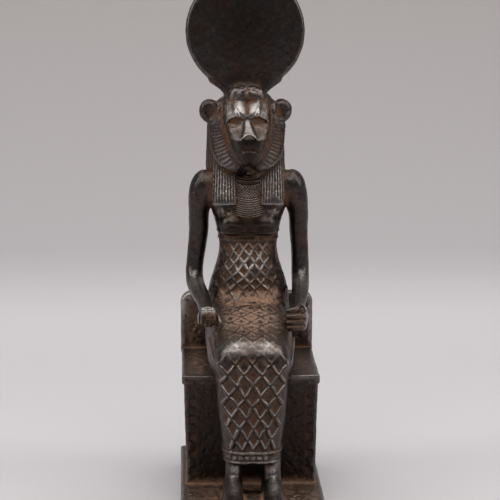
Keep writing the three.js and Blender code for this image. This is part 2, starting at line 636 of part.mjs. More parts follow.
/** The lion's face, ears and the rearing-cobra knob under the disc. */
function face() {
  const at = (x, y, z) => vec(x + TABLE.lean + 0.05 * (TABLE.axis - y), y, z);
  const skull = [ // height, half width, depth before the middle of the head
    [106, 3, 12], [108.5, 5.6, 14.8], [113, 8.6, 15.4], [119, 11.2, 15], [124, 12.6, 14.2],
    [127.4, 13, 12.4], [129.4, 13, 12.6], [131.6, 12.8, 15], [135.5, 11.6, 15.4], [139.4, 9.4, 11],
  ];
  const cheeks = loft(skull.map(([z, across, front]) => (
    ring(at(0, 40, z), X_AXIS, Y_AXIS, across, front, 6, 16, 2.2)
  )));
  const snout = [ // depth, half width, height below and above the middle of the muzzle
    [31, 8.2, 9.6, 13.4], [25, 7.2, 9.2, 11], [19.5, 6.5, 8.4, 8.2], [15.6, 5.9, 7.4, 6.4],
    [13.4, 4.8, 5.6, 5.2], [12.6, 3, 3.4, 3.8],
  ];
  const muzzle = loft(snout.map(([y, across, low, high]) => (
    ring(at(0, y, 117), X_AXIS, Z_AXIS, across, low, high, 12, 2.3)
  )));
  const bridge = limb([[at(0, 28, 130), 1.8, 3.4], [at(0, 23.6, 127), 2, 3.2], [at(0, 18.6, 123.6), 2.4, 2.6],
    [at(0, 14.6, 121.8), 3, 1.8]], 8);
  const nose = egg(at(0, 13.4, 120.8), 3.5, 1.9, 2, 10, 4);
  const brows = [-1, 1].flatMap((side) => [
    egg(at(side * 3, 26.8, 134.6), 3.2, 3, 4.4, 10, 5),
    egg(at(side * 8.8, 27.4, 132.2), 3.8, 2.2, 1.8, 8, 4),
  ]);
  const mouth = limb([
    [at(-6.6, 15, 112.2), 0.7, 0.5], [at(-3, 12.4, 113.8), 0.9, 0.6], [at(0, 11.4, 114.2), 1, 0.6],
    [at(3, 12.4, 113.8), 0.9, 0.6], [at(6.6, 15, 112.2), 0.7, 0.5],
  ], 6);
  const ears = [-1, 1].map((side) => {
    const shell = egg(vec(side * 18.7 + TABLE.lean, 42.4, 132.4), 5.6, 3.4, 6.4, 10, 5);
    const cup = egg(vec(side * 18.9 + TABLE.lean, 39, 132.8), 3.7, 2.6, 4.4, 8, 4);
    return cut(shell, [cup]);
  });
  const knob = egg(vec(TABLE.lean, 33.2, 142.6), 7.6, 5, 4.5, 12, 6);
  const head = cut(join([cheeks, muzzle, bridge, nose, ...brows]), [mouth]);
  return join([head, ...ears, knob]);
}

/** The sun disc and the flared neck that carries it on the head. */
function disc() {
  const axis = TABLE.axis + 1;
  const half = DISC_THICKNESS / 2;
  const flat = DISC_RADIUS - DISC_RIM;
  const rim = steps(2, -Math.PI / 2, Math.PI / 2).map((angle) => (
    new THREE.Vector2(flat + DISC_RIM * Math.cos(angle), (half - DISC_RIM / 2) * Math.sin(angle))
  ));
  const profile = [new THREE.Vector2(0, -half), ...rim, new THREE.Vector2(0, half)];
  const plate = new THREE.LatheGeometry(profile, 48);
  const top = fit(vec(TABLE.lean, axis, TABLE.height));
  plate.translate(top.x, top.y, top.z - DISC_RADIUS);
  const flare = [ // height, half width, half depth
    [134, 15, 11], [138.4, 12.1, 8.6], [140.9, 11.5, 7], [143, 13.1, 5.6], [145.2, 16, 4.4],
    [147.2, 18.8, 3.5], [149.4, 19.4, 2.8], [153, 18, 2],
  ];
  const [low, high] = [flare[0][0], flare[flare.length - 1][0]];
  const crown = fit(vec(TABLE.lean, axis, low)).z;
  const reach = top.z - 2 * DISC_RADIUS + NECK_LAP - crown;
  const stretch = (point) => fit(point).setZ(crown + (reach * (point.z - low)) / (high - low));
  const neck = loft(flare.map(([z, across, deep]) => (
    ring(vec(TABLE.lean, axis, z), X_AXIS, Y_AXIS, across, deep, deep, 14)
  )), stretch);
  return join([solidOf(plate), neck]);
}

/** The shells of a mesh, each as its triangles and the volume that it encloses, negative for a pocket. */
function shells(places, corners) {
  const parent = places.map((_, i) => i);
  const root = (i) => {
    let top = i;
    while (parent[top] !== top) top = parent[top];
    parent[i] = top;
    return top;
  };
  for (let i = 0; i < corners.length; i += 3) {
    parent[root(corners[i])] = root(corners[i + 1]);
    parent[root(corners[i + 1])] = root(corners[i + 2]);
  }
  const found = new Map();
  for (let i = 0; i < corners.length; i += 3) {
    const face = corners.slice(i, i + 3);
    const [a, b, c] = face.map((k) => places[k]);
    const key = root(face[0]);
    if (!found.has(key)) found.set(key, { faces: [], volume: 0 });
    found.get(key).faces.push(face);
    found.get(key).volume += a.dot(b.clone().cross(c)) / 6;
  }
  return [...found.values()];
}

/** The flat through three points. */
function flat(a, b, c) {
  const way = b.clone().sub(a).cross(c.clone().sub(a));
  const area = way.length();
  return area < 1e-9 ? null : { way: way.divideScalar(area), off: -way.dot(a), area };
}

/** Draws corners that shape nothing into a neighbour, as long as the skin moves less than the tolerance. */
function ease(places, faces, tolerance) {
  const around = places.map(() => new Set());
  faces.forEach((face, i) => face.forEach((k) => around[k].add(i)));
  const flats = faces.map((face) => flat(...face.map((k) => places[k])));
  const limits = around.map((near) => [...near].map((i) => flats[i]).filter(Boolean));
  const neighbours = (k) => new Set([...around[k]].flatMap((i) => faces[i]).filter((other) => other !== k));
  const error = (k, at) => Math.max(0, ...limits[k].map(({ way, off }) => Math.abs(way.dot(at) + off)));
  const fits = (k, into) => {
    const shared = [...neighbours(k)].filter((other) => neighbours(into).has(other));
    if (shared.length !== 2) return false;
    return [...around[k]].filter((i) => !faces[i].includes(into)).every((i) => {
      const next = flat(...faces[i].map((other) => places[other === k ? into : other]));
      if (!next) return false;
      return !flats[i] || flats[i].area < tolerance * tolerance || next.way.dot(flats[i].way) > 0.7;
    });
  };
  const collapse = (k, into) => {
    [...around[k]].forEach((i) => {
      if (faces[i].includes(into)) {
        faces[i].forEach((other) => around[other].delete(i));
        faces[i] = null;
        return;
      }
      faces[i] = faces[i].map((other) => (other === k ? into : other));
      flats[i] = flat(...faces[i].map((other) => places[other]));
      around[into].add(i);
    });
    around[k].clear();
    limits[into].push(...limits[k]);
  };
  [0.2, 0.5, 1].forEach((share) => {
    places.forEach((_, k) => {
      if (around[k].size === 0) return;
      const ways = [...neighbours(k)].map((into) => [error(k, places[into]), into])
        .filter(([move]) => move < share * tolerance).sort((a, b) => a[0] - b[0]);
      const choice = ways.find(([, into]) => fits(k, into));
      if (choice) collapse(k, choice[1]);
    });
  });
  return faces.filter(Boolean);
}

/** Turns a finished solid into a three.js geometry, with the small pockets sealed inside it filled. */
function geometryOf(body) {
  const mesh = body.getMesh();
  const places = [];
  for (let i = 0; i < mesh.vertProperties.length; i += 3) {
    places.push(vec(...mesh.vertProperties.slice(i, i + 3)));
  }
  const outer = shells(places, Array.from(mesh.triVerts)).filter((shell) => shell.volume > SMALLEST_SHELL);
  const faces = ease(places, outer.flatMap((shell) => shell.faces), EASE);
  const geometry = new THREE.BufferGeometry();
  geometry.setAttribute('position', new THREE.BufferAttribute(new Float32Array(mesh.vertProperties), 3));
  geometry.setIndex(faces.flat());
  return mergeVertices(geometry.toNonIndexed(), 1e-5);
}

const bronze = new THREE.MeshStandardMaterial({ color: 0x3f3a37, roughness: 0.42, metalness: 0.9 });
const casting = join([
  plinth(), throne(), trunk(), dress(), beadNet(), arms(), leftFist(), rightFist(), feet(), wig(), mane(),
  face(), disc(),
]);
const statue = new THREE.Mesh(geometryOf(casting), bronze);
statue.name = 'seated_goddess';

const model = new THREE.Group();
model.add(statue);

export default model;
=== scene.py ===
"""A seated lion-headed goddess with a sun disc, cast in dark bronze with her throne and plinth.

Each part of the casting is modelled as clay, a grid of signed distances, then skinned into a mesh and dressed
in a patina that follows how hollow, how worn and how dusty each spot of the metal is, with painted highlights
and painted shade laid into its colour where light and shade fall.
"""

import logging
import math
from dataclasses import dataclass, field
from enum import Enum
from itertools import product
from typing import Callable, Protocol

import bpy
import numpy as np
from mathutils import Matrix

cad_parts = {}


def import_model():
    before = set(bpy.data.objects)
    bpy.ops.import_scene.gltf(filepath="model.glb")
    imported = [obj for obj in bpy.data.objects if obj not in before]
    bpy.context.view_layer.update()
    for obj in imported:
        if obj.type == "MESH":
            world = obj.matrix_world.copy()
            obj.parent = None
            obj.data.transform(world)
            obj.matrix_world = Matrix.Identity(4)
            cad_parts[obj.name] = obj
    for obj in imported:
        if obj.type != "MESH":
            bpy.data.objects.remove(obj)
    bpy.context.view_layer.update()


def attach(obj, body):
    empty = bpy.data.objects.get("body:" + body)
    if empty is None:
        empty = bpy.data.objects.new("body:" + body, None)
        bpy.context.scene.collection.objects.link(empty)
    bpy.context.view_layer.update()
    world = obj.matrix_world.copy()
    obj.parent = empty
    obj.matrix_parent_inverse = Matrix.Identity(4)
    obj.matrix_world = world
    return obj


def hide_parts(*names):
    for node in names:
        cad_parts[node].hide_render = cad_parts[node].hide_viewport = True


log = logging.getLogger("goddess")

Point = tuple[float, float, float]
Grid = np.ndarray

# Millimetres. The clay is worked in the figure's own frame: y from the throne's front, z from the seat.
MM = 0.001
THRONE_FRONT = -3.0
SEAT_TOP = 68.5
PLINTH_TOP = -57.5
UNDERSIDE = -68.5
LEAN = -1.4
TORSO_AXIS = 46.0
FAR = 8.0
BAND = 3.0


def smooth(low: float, high: float, value: Grid) -> Grid:
    """Rise softly from 0 at low to 1 at high."""
    t = np.clip((value - low) / (high - low), 0.0, 1.0)
    return t * t * (3.0 - 2.0 * t)


def union(a: Grid, b: Grid, blend: float) -> Grid:
    """Join two fields of distances, with a fillet about as wide as blend."""
    low = np.minimum(a, b)
    if blend <= 0.0:
        return low
    near = np.maximum(blend - np.abs(a - b), 0.0) / blend
    return low - near * near * (blend * 0.25)


def meet(a: Grid, b: Grid, blend: float) -> Grid:
    """Keep what two fields share, with an edge rounded about as wide as blend."""
    return -union(-a, -b, blend)


class Curve:
    """A smooth curve through rows [t, a, b, ...] with rising t."""

    def __init__(self, rows: list) -> None:
        """Store the rows and the slope at each of them.

        Args:
            rows: The stations, each a t and the values there.
        """
        table = np.array(sorted(rows), float)
        before = np.vstack([table[:1], table[:-1]])
        after = np.vstack([table[1:], table[-1:]])
        self.t = table[:, 0]
        self.values = table[:, 1:]
        self.slopes = (after[:, 1:] - before[:, 1:]) / (after[:, :1] - before[:, :1])

    def at(self, t: Grid) -> list[Grid]:
        """Give the values at any t.

        Args:
            t: Places along the curve, in an array of any shape.

        Returns:
            One array of the shape of t for each value of a row.
        """
        t = np.clip(np.asarray(t, float), self.t[0], self.t[-1])
        i = np.clip(np.searchsorted(self.t, t, side="right") - 1, 0, len(self.t) - 2)
        span = self.t[i + 1] - self.t[i]
        s = (t - self.t[i]) / span
        rise = s * s * (3 - 2 * s)
        leave = s * (1 - s) * (1 - s) * span
        arrive = s * s * (1 - s) * span
        out = []
        for k in range(self.values.shape[1]):
            a, b = self.values[i, k], self.values[i + 1, k]
            bend = leave * self.slopes[i, k] - arrive * self.slopes[i + 1, k]
            out.append((a + (b - a) * rise + bend).astype(np.float32))
        return out


class Noise:
    """Smooth random unevenness, the same on each run."""

    SIZE = 32

    def __init__(self, seed: int) -> None:
        """Fill the lattice.

        Args:
            seed: Picks the pattern.
        """
        shape = (self.SIZE, self.SIZE, self.SIZE)
        self.lattice = np.random.default_rng(seed).uniform(-1, 1, shape).astype(np.float32)

    def at(self, x: Grid, y: Grid, z: Grid, scale: float) -> Grid:
        """Give the noise at points.

        Args:
            x: Places along X, in millimetres, and so on for y and z.
            y: Places along Y.
            z: Places along Z.
            scale: Size of a bump, in millimetres.

        Returns:
            Values from -1 to 1.
        """
        places = [np.asarray(v / scale + 100.0, np.float32) for v in (x, y, z)]
        cells = [np.floor(v).astype(np.int32) for v in places]
        shares = [v - c for v, c in zip(places, cells)]
        shares = [s * s * (3 - 2 * s) for s in shares]
        total = np.zeros(np.broadcast(x, y, z).shape, np.float32)
        for corner in product((0, 1), repeat=3):
            weight = np.float32(1.0)
            index = []
            for c, s, step in zip(cells, shares, corner):
                weight = weight * (s if step else 1 - s)
                index.append((c + step) % self.SIZE)
            total += weight * self.lattice[index[0], index[1], index[2]]
        return total


class Form(Protocol):
    """A form that clay can be added to or cut by."""

    def box(self) -> tuple[Point, Point]:
        """Give the lowest and the highest corner of the form."""

    def distance(self, x: Grid, y: Grid, z: Grid) -> Grid:
        """Give the distance to the form's skin, negative inside."""


@dataclass
class Egg:
    """An egg with its half sizes along X, Y and Z, turned in the X-Z plane.

    Args:
        centre: Its middle.
        radii: Its half sizes.
        turn: Its turn about Y, in degrees.
    """

    centre: Point
    radii: Point
    turn: float = 0.0

    def box(self) -> tuple[Point, Point]:
        """Give the lowest and the highest corner."""
        reach = list(self.radii)
        if self.turn:
            reach[0] = reach[2] = max(self.radii[0], self.radii[2])
        low = tuple(c - r for c, r in zip(self.centre, reach))
        return low, tuple(c + r for c, r in zip(self.centre, reach))

    def distance(self, x: Grid, y: Grid, z: Grid) -> Grid:
        """Give the distance to the egg's skin."""
        dx, dy, dz = x - self.centre[0], y - self.centre[1], z - self.centre[2]
        if self.turn:
            cos, sin = math.cos(math.radians(self.turn)), math.sin(math.radians(self.turn))
            dx, dz = dx * cos + dz * sin, dz * cos - dx * sin
        rx, ry, rz = self.radii
        near = np.sqrt((dx / rx) ** 2 + (dy / ry) ** 2 + (dz / rz) ** 2) + 1e-6
        steep = np.sqrt((dx / rx**2) ** 2 + (dy / ry**2) ** 2 + (dz / rz**2) ** 2) + 1e-6
        return near * (near - 1.0) / steep


@dataclass
class Slab:
    """A block with rounded edges.

    Args:
        low: Its lowest corner.
        high: Its highest corner.
        edge: Radius of its edges.
        taper: How far each side leans in from the top to the foot.
    """

    low: Point
    high: Point
    edge: float = 0.6
    taper: float = 0.0

    def box(self) -> tuple[Point, Point]:
        """Give the lowest and the highest corner."""
        return self.low, self.high

    def distance(self, x: Grid, y: Grid, z: Grid) -> Grid:
        """Give the distance to the block's skin."""
        middle = [(a + b) / 2 for a, b in zip(self.low, self.high)]
        half = [(b - a) / 2 - self.edge for a, b in zip(self.low, self.high)]
        lean = self.taper * np.clip((self.high[2] - z) / (self.high[2] - self.low[2]), 0, 1)
        q = [np.abs(x - middle[0]) - half[0] + lean, np.abs(y - middle[1]) - half[1],
             np.abs(z - middle[2]) - half[2]]
        out = np.sqrt(sum(np.maximum(v, 0.0) ** 2 for v in q))
        return out + np.minimum(np.maximum(np.maximum(q[0], q[1]), q[2]), 0.0) - self.edge


@dataclass
class Loft:
    """A form of oval sections across X, stacked along Y or Z.

    Args:
        rows: Stations [t, half width, depth before the middle, depth behind it].
        middle: Middle of the sections on the other axis.
        along: Axis of the stack, 1 for Y or 2 for Z.
        square: Squareness of the sections, 2 for an ellipse.
        lean: Stations (t, x) of the middle on X.
        edge: Radius of the ends.
        grow: How far the whole skin stands out.
    """

    rows: list
    middle: float
    along: int = 2
    square: float = 2.0
    lean: tuple = ((0.0, 0.0), (1.0, 0.0))
    edge: float = 1.0
    grow: float = 0.0

    def box(self) -> tuple[Point, Point]:
        """Give the lowest and the highest corner."""
        table = np.array(self.rows, float)
        wide = table[:, 1].max() + max(abs(x) for _, x in self.lean) + self.grow + 0.5
        ends = (table[:, 0].min() - self.grow, table[:, 0].max() + self.grow)
        other = (self.middle - table[:, 2].max() - self.grow - 0.5,
                 self.middle + table[:, 3].max() + self.grow + 0.5)
        y, z = (ends, other) if self.along == 1 else (other, ends)
        return (-wide, y[0], z[0]), (wide, y[1], z[1])

    def distance(self, x: Grid, y: Grid, z: Grid) -> Grid:
        """Give the distance to the form's skin."""
        t, other = (y, z) if self.along == 1 else (z, y)
        across, fore, aft = Curve(self.rows).at(t)
        ts, xs = zip(*self.lean)
        dx = x - np.interp(t, ts, xs).astype(np.float32)
        off = other - self.middle
        deep = np.where(off < 0, fore, aft)
        n = self.square
        u, v = np.abs(dx) / across + 1e-4, np.abs(off) / deep + 1e-4
        if n == 2.0:
            q = np.sqrt(u * u + v * v)
            steep = np.sqrt((u / across) ** 2 + (v / deep) ** 2) / q
        else:
            q = (u**n + v**n) ** (1 / n)
            steep = np.sqrt((u ** (n - 1) / across) ** 2 + (v ** (n - 1) / deep) ** 2) * q ** (1 - n)
        side = np.maximum((q - 1) / steep, -FAR) - self.grow
        ends = sorted(row[0] for row in self.rows)
        first, last = ends[0] - self.grow, ends[-1] + self.grow
        return meet(side, np.maximum(first - t, t - last), self.edge * 2)


@dataclass
class Limb:
    """A rounded limb along points, each with its own half sizes.

    Args:
        stations: Rows [x, y, z, half width on X, half depth].
        step: Spacing of the balls that it is drawn through.
    """

    stations: list
    step: float = 1.6

    def __post_init__(self) -> None:
        """Draw the smooth middle line through the stations."""
        table = np.array(self.stations, float)
        gaps = np.linalg.norm(np.diff(table[:, :3], axis=0), axis=1)
        ways = np.concatenate([[0], np.cumsum(gaps)])
        count = max(2, int(ways[-1] / self.step) + 1)
        curve = Curve(np.column_stack([ways, table]).tolist())
        self.line = np.stack(curve.at(np.linspace(0, ways[-1], count)), axis=1)

    def box(self) -> tuple[Point, Point]:
        """Give the lowest and the highest corner."""
        reach = self.line[:, 3:].max()
        low = self.line[:, :3].min(axis=0) - reach
        return tuple(low), tuple(self.line[:, :3].max(axis=0) + reach)

    def distance(self, x: Grid, y: Grid, z: Grid) -> Grid:
        """Give the distance to the limb's skin."""
        out = np.full(np.broadcast(x, y, z).shape, FAR, np.float32)
        flat = [x.ravel(), y.ravel(), z.ravel()]
        for a, b in zip(self.line[:-1], self.line[1:]):
            reach = max(a[3], a[4], b[3], b[4]) + BAND
            cut = []
            for k in range(3):
                first, last = min(a[k], b[k]) - reach, max(a[k], b[k]) + reach
                cut.append(slice(np.searchsorted(flat[k], first), np.searchsorted(flat[k], last)))
            cut = tuple(cut)
            squeeze = (a[4] + b[4]) / (a[3] + b[3])
            px, py, pz = (x[cut[0]] - a[0]) * squeeze, y[:, cut[1]] - a[1], z[:, :, cut[2]] - a[2]
            way = b[:3] - a[:3]
            way[0] *= squeeze
            t = np.clip((px * way[0] + py * way[1] + pz * way[2]) / (way @ way + 1e-9), 0, 1)
            off = (px - t * way[0]) ** 2 + (py - t * way[1]) ** 2 + (pz - t * way[2]) ** 2
            near = (np.sqrt(off) - (a[4] + t * (b[4] - a[4]))) / max(1.0, squeeze)
            out[cut] = np.minimum(out[cut], near)
        return out


class Clay:
    """A block of clay: a grid of signed distances in millimetres, negative inside."""

    def __init__(self, low: Point, high: Point, voxel: float) -> None:
        """Lay out an empty block.

        Args:
            low: Its lowest corner.
            high: Its highest corner.
            voxel: Spacing of the grid.
        """
        self.voxel = voxel * 1.0
        self.axes = [np.arange(a, b + self.voxel, self.voxel, dtype=np.float32) for a, b in zip(low, high)]
        self.field = np.full([len(axis) for axis in self.axes], FAR, np.float32)

    def window(self, low: Point, high: Point, margin: float = 3.5) -> tuple[tuple, list[Grid]]:
        """Find the part of the grid round a box.

        Args:
            low: The lowest corner of the box.
            high: The highest corner.
            margin: How much more is taken in on each side.

        Returns:
            The slices of the grid, and the open grids of x, y and z in them.
        """
        cuts = []
        for axis, a, b in zip(self.axes, low, high):
            cuts.append(slice(np.searchsorted(axis, a - margin), np.searchsorted(axis, b + margin)))
        x = self.axes[0][cuts[0]][:, None, None]
        y = self.axes[1][cuts[1]][None, :, None]
        z = self.axes[2][cuts[2]][None, None, :]
        return tuple(cuts), [x, y, z]

    def add(self, form: Form, blend: float = 1.0) -> None:
        """Press a form onto the clay with a soft join."""
        cuts, grids = self.window(*form.box())
        if self.field[cuts].size:
            self.field[cuts] = union(self.field[cuts], form.distance(*grids), blend)

    def carve(self, form: Form, blend: float = 0.4) -> None:
        """Cut a form out of the clay, with the rim rounded."""
        cuts, grids = self.window(*form.box())
        if self.field[cuts].size:
            self.field[cuts] = meet(self.field[cuts], -form.distance(*grids), blend)

    def emboss(self, low: Point, high: Point, height: Callable[[Grid, Grid, Grid], Grid]) -> None:
        """Raise or sink the skin inside a box.

        Args:
            low: The lowest corner of the box.
            high: The highest corner.
            height: Gives how far the skin moves out at points x, y and z.
        """
        cuts, grids = self.window(low, high, 0.0)
        view = self.field[cuts]
        near = np.nonzero(np.abs(view) < BAND)
        places = [grid.ravel()[index] for grid, index in zip(grids, near)]
        view[near] -= height(*places)

    def skin(self) -> tuple[Grid, Grid]:
        """Wrap the clay in a mesh.

        Returns:
            The corners in millimetres, and the quads between them.
        """
        inside = self.field < 0
        shape = [n - 1 for n in inside.shape]
        count = np.zeros(shape, np.uint8)
        for i, j, k in product((0, 1), repeat=3):
            count += inside[i:shape[0] + i, j:shape[1] + j, k:shape[2] + k]
        active = (count > 0) & (count < 8)
        cells = np.argwhere(active)
        index = np.full(shape, -1, np.int32)
        index[active] = np.arange(len(cells))
        total = np.zeros((len(cells), 3), np.float32)
        hits = np.zeros(len(cells), np.float32)
        for axis in range(3):
            others = [k for k in range(3) if k != axis]
            for i, j in product((0, 1), repeat=2):
                start = cells.copy()
                start[:, others[0]] += i
                start[:, others[1]] += j
                end = start.copy()
                end[:, axis] += 1
                a, b = self.field[tuple(start.T)], self.field[tuple(end.T)]
                cross = (a < 0) != (b < 0)
                share = a[cross] / (a[cross] - b[cross])
                place = start[cross].astype(np.float32)
                place[:, axis] += share
                total[cross] += place
                hits[cross] += 1
        corners = total / hits[:, None] * self.voxel + np.array([axis[0] for axis in self.axes], np.float32)
        quads = []
        for axis in range(3):
            b, c = (axis + 1) % 3, (axis + 2) % 3
            low = [slice(None)] * 3
            high = [slice(None)] * 3
            low[axis], high[axis] = slice(None, -1), slice(1, None)
            for k in (b, c):
                low[k] = high[k] = slice(1, -1)
            cross = inside[tuple(low)] != inside[tuple(high)]
            edges = np.argwhere(cross)
            edges[:, b] += 1
            edges[:, c] += 1
            into = inside[tuple(edges.T)]
            ring = []
            for i, j in ((-1, -1), (0, -1), (0, 0), (-1, 0)):
                cell = edges.copy()
                cell[:, b] += i
                cell[:, c] += j
                ring.append(index[tuple(cell.T)])
            quad = np.stack(ring, axis=1)
            quad[~into] = quad[~into][:, ::-1]
            quads.append(quad)
        return corners, np.concatenate(quads)

    def blurred(self, radius: float) -> Grid:
        """Give the field averaged over cubes of about a radius, in two passes."""
        size = max(1, int(round(radius / self.voxel)))
        out = np.clip(self.field, -2.5, 2.5)
        for _ in range(2):
            for axis in range(3):
                padded = np.concatenate([np.repeat(out.take([0], axis), size + 1, axis), out,
                                         np.repeat(out.take([-1], axis), size, axis)], axis)
                running = np.cumsum(padded, axis, dtype=np.float32)
                span = 2 * size + 1
                length = running.shape[axis]
                ahead = running.take(range(span, length), axis)
                out = (ahead - running.take(range(0, length - span), axis)) / span
        return out

    def sample(self, values: Grid, points: Grid) -> Grid:
        """Read a grid of values at points, in millimetres."""
        low = np.array([axis[0] for axis in self.axes], np.float32)
        top = np.array(values.shape) - 1.001
        place = np.clip((points - low) / self.voxel, 0, top)
        cell = place.astype(np.int32)
        share = place - cell
        total = np.zeros(len(points), np.float32)
        for corner in product((0, 1), repeat=3):
            weight = np.prod([share[:, k] if corner[k] else 1 - share[:, k] for k in range(3)], axis=0)
            total += weight * values[cell[:, 0] + corner[0], cell[:, 1] + corner[1], cell[:, 2] + corner[2]]
        return total

    def normals(self, points: Grid) -> Grid:
        """Give the way out of the clay at points."""
        step = self.voxel
        ways = []
        for k in range(3):
            shift = np.zeros(3, np.float32)
            shift[k] = step
            ways.append(self.sample(self.field, points + shift) - self.sample(self.field, points - shift))
        way = np.stack(ways, axis=1)
        return way / (np.linalg.norm(way, axis=1, keepdims=True) + 1e-9)

    def holds(self, points: Grid) -> Grid:
        """Tell which points lie within the grid."""
        low = np.array([axis[0] for axis in self.axes])
        high = np.array([axis[-1] for axis in self.axes])
        return np.all((points > low) & (points < high), axis=1)


UNEVEN = Noise(7)
GRAIN = Noise(19)


def torso_rows() -> list:
    """Stations of the torso: height, half width, depth before and behind its axis."""
    return [
        [-1.5, 20, 18, 19.4], [12, 22, 21.5, 19.4], [26, 22, 21, 18.5], [35.5, 21.3, 19.5, 15.5],
        [41, 20.2, 20, 13.5], [48.5, 17.8, 20.5, 12.5], [55.5, 15.8, 19, 12], [61.5, 15.2, 16.4, 12],
        [68.5, 16.2, 15.5, 12.5], [75, 17.8, 15.8, 13], [80, 19.4, 15.8, 13.5], [86, 22, 14, 13.5],
        [92, 24, 12, 13], [97.5, 23.6, 10, 11.5], [101.5, 19, 8.5, 10], [108, 11, 8, 8.5],
    ]


def torso_row(z: float, less: float = 0.0) -> list:
    """Give a station of the torso at any height, its half sizes less by so much."""
    return [z, *(float(v) - less for v in Curve(torso_rows()).at(z))]


LAP_CORE = 11.0
LAP_ROWS = [
    [-29.6, 13.6, 15.5], [-28, 16.0, 19.2], [-24.5, 17.6, 22.8], [-18, 19.4, 25.6], [-8, 21.2, 28.2],
    [10, 22.2, 32], [28, 22.3, 35.8], [44, 21.5, 37],
]
SHIN_CORE = -12.0
SHIN_ROWS = [
    [-39, 14.4, -27.8], [-33, 15.1, -28.6], [-25.5, 16, -29.3], [-12, 17.6, -30], [0, 18.2, -30.4],
    [12, 18.2, -30], [19, 17, -27.5],
]


@dataclass
class BeadNet:
    """A net of beads over the body: raised bands round sunk lozenges, along a line down the front.

    Args:
        line: Rows [y, z, half width, half width of a band, its height, height of the inner lozenge].
        columns: Lozenges across.
        rows: Half lozenges along the line.
        seed: Picks the unevenness of the hand work.
    """

    line: list
    columns: int
    rows: int
    seed: int = 3

    def __post_init__(self) -> None:
        """Draw the line and a chart of the nearest place on it."""
        table = np.array(self.line, float)
        gaps = np.linalg.norm(np.diff(table[:, :2], axis=0), axis=1)
        ways = np.concatenate([[0], np.cumsum(gaps)])
        curve = Curve(np.column_stack([ways, table]).tolist())
        self.length = ways[-1]
        s = np.linspace(0, self.length, 240)
        y, z, *self.sizes = curve.at(s)
        self.ways = s
        self.low = np.array([y.min() - 4, z.min() - 4])
        self.high_corner = np.array([y.max() + 14, z.max() + 4])
        self.pitch = 0.5
        ys = np.arange(self.low[0], self.high_corner[0], self.pitch)
        zs = np.arange(self.low[1], self.high_corner[1], self.pitch)
        near = (ys[:, None, None] - y) ** 2 + (zs[None, :, None] - z) ** 2
        self.chart = s[near.argmin(axis=2)].astype(np.float32)

    def box(self) -> tuple[Point, Point]:
        """Give the box that the net lies in."""
        wide = max(row[2] for row in self.line) + 1
        low, high = self.low + 1, self.high_corner - 1
        return (-wide, low[0], low[1]), (wide, high[0], high[1])

    def lattice(self, x: Grid, y: Grid, z: Grid) -> tuple[Grid, ...]:
        """Find where points lie in the net.

        Args:
            x: Places of the points, and so on for y and z.
            y: Places along Y.
            z: Places along Z.

        Returns:
            The distances to the nearer and the farther line, whether the point lies in the lower half
            of its lozenge, how far it is inside the net, the band's half width and height there, the
            height of the inner lozenge, and half the spacing of the lines.
        """
        i = np.clip((y - self.low[0]) / self.pitch, 0, self.chart.shape[0] - 1.001)
        j = np.clip((z - self.low[1]) / self.pitch, 0, self.chart.shape[1] - 1.001)
        a, b = i.astype(int), j.astype(int)
        p, q = i - a, j - b
        chart = self.chart
        s = (chart[a, b] * (1 - p) * (1 - q) + chart[a + 1, b] * p * (1 - q)
             + chart[a, b + 1] * (1 - p) * q + chart[a + 1, b + 1] * p * q)
        wide, band, high, inner = (np.interp(s, self.ways, size).astype(np.float32) for size in self.sizes)
        warp = 0.6 * UNEVEN.at(x, y, z + self.seed, 5.0)
        u = (x + warp) / wide
        v = (s + 0.6 * GRAIN.at(x, y, z, 5.0)) / self.length * self.rows
        across = (u + 1) / 2 * self.columns
        reach = np.sqrt((self.columns / (2 * wide)) ** 2 + (self.rows / (2 * self.length)) ** 2)
        lines, sides = [], []
        for way in (-0.5, 0.5):
            step = across + way * v
            off = step - np.round(step)
            lines.append(np.abs(off) / reach)
            sides.append(off * way)
        near, far = np.minimum(*lines), np.maximum(*lines)
        lower = np.where(lines[0] < lines[1], sides[0], sides[1]) < 0
        inside = smooth(1.04, 0.98, np.abs(u)) * smooth(-0.2, 0.3, s) * smooth(0.2, -0.3, s - self.length)
        band = band * (1 + 0.35 * UNEVEN.at(x, y, z, 3.0))
        inner = inner * smooth(-0.2, 0.3, UNEVEN.at(x, y, z, 8.0))
        return near, far, lower, inside, band, high, inner, 0.5 / reach

    def height(self, x: Grid, y: Grid, z: Grid) -> Grid:
        """Give how far the skin moves out at points."""
        near, far, _, inside, band, high, inner, core = self.lattice(x, y, z)
        height = high * smooth(0.4, -0.4, near - band)
        height += inner * smooth(core * 0.62, core * 0.84, near) * smooth(core * 0.5, core * 0.7, far)
        return height * inside

    def bright_marks(self, x: Grid, y: Grid, z: Grid) -> tuple[Grid, Grid]:
        """Tell how much points lie on the upper bevel of a band, which is painted as a highlight, and how much
        on a band at all.
        """
        near, _, lower, inside, band, _, _, _ = self.lattice(x, y, z)
        # Painted highlight on the band's upper bevel, where the light from above falls.
        bevel = np.exp(-((near - band + 0.1) / 0.28) ** 2) * lower * inside
        return bevel, smooth(0.3, -0.2, near - band) * inside


def rough(clay: Clay, deep: float = 0.07) -> None:
    """Give the whole skin the slight unevenness of a sand casting."""
    low = tuple(axis[0] for axis in clay.axes)
    high = tuple(axis[-1] for axis in clay.axes)
    clay.emboss(low, high, lambda x, y, z: (
        deep * UNEVEN.at(x, y, z, 2.6) + deep * 0.8 * GRAIN.at(x, y, z, 1.1)
        + deep * UNEVEN.at(x, y, z, 9.0)))


class Part:
    """A part of the figure that is modelled in clay."""

    def model(self, clay: Clay) -> None:
        """Work the part into the clay."""
        raise NotImplementedError

    def marks(self, x: Grid, y: Grid, z: Grid) -> dict["Dirt", Grid]:
        """Tell what shows on the metal at points, beyond the spots that are named below."""
        return {}


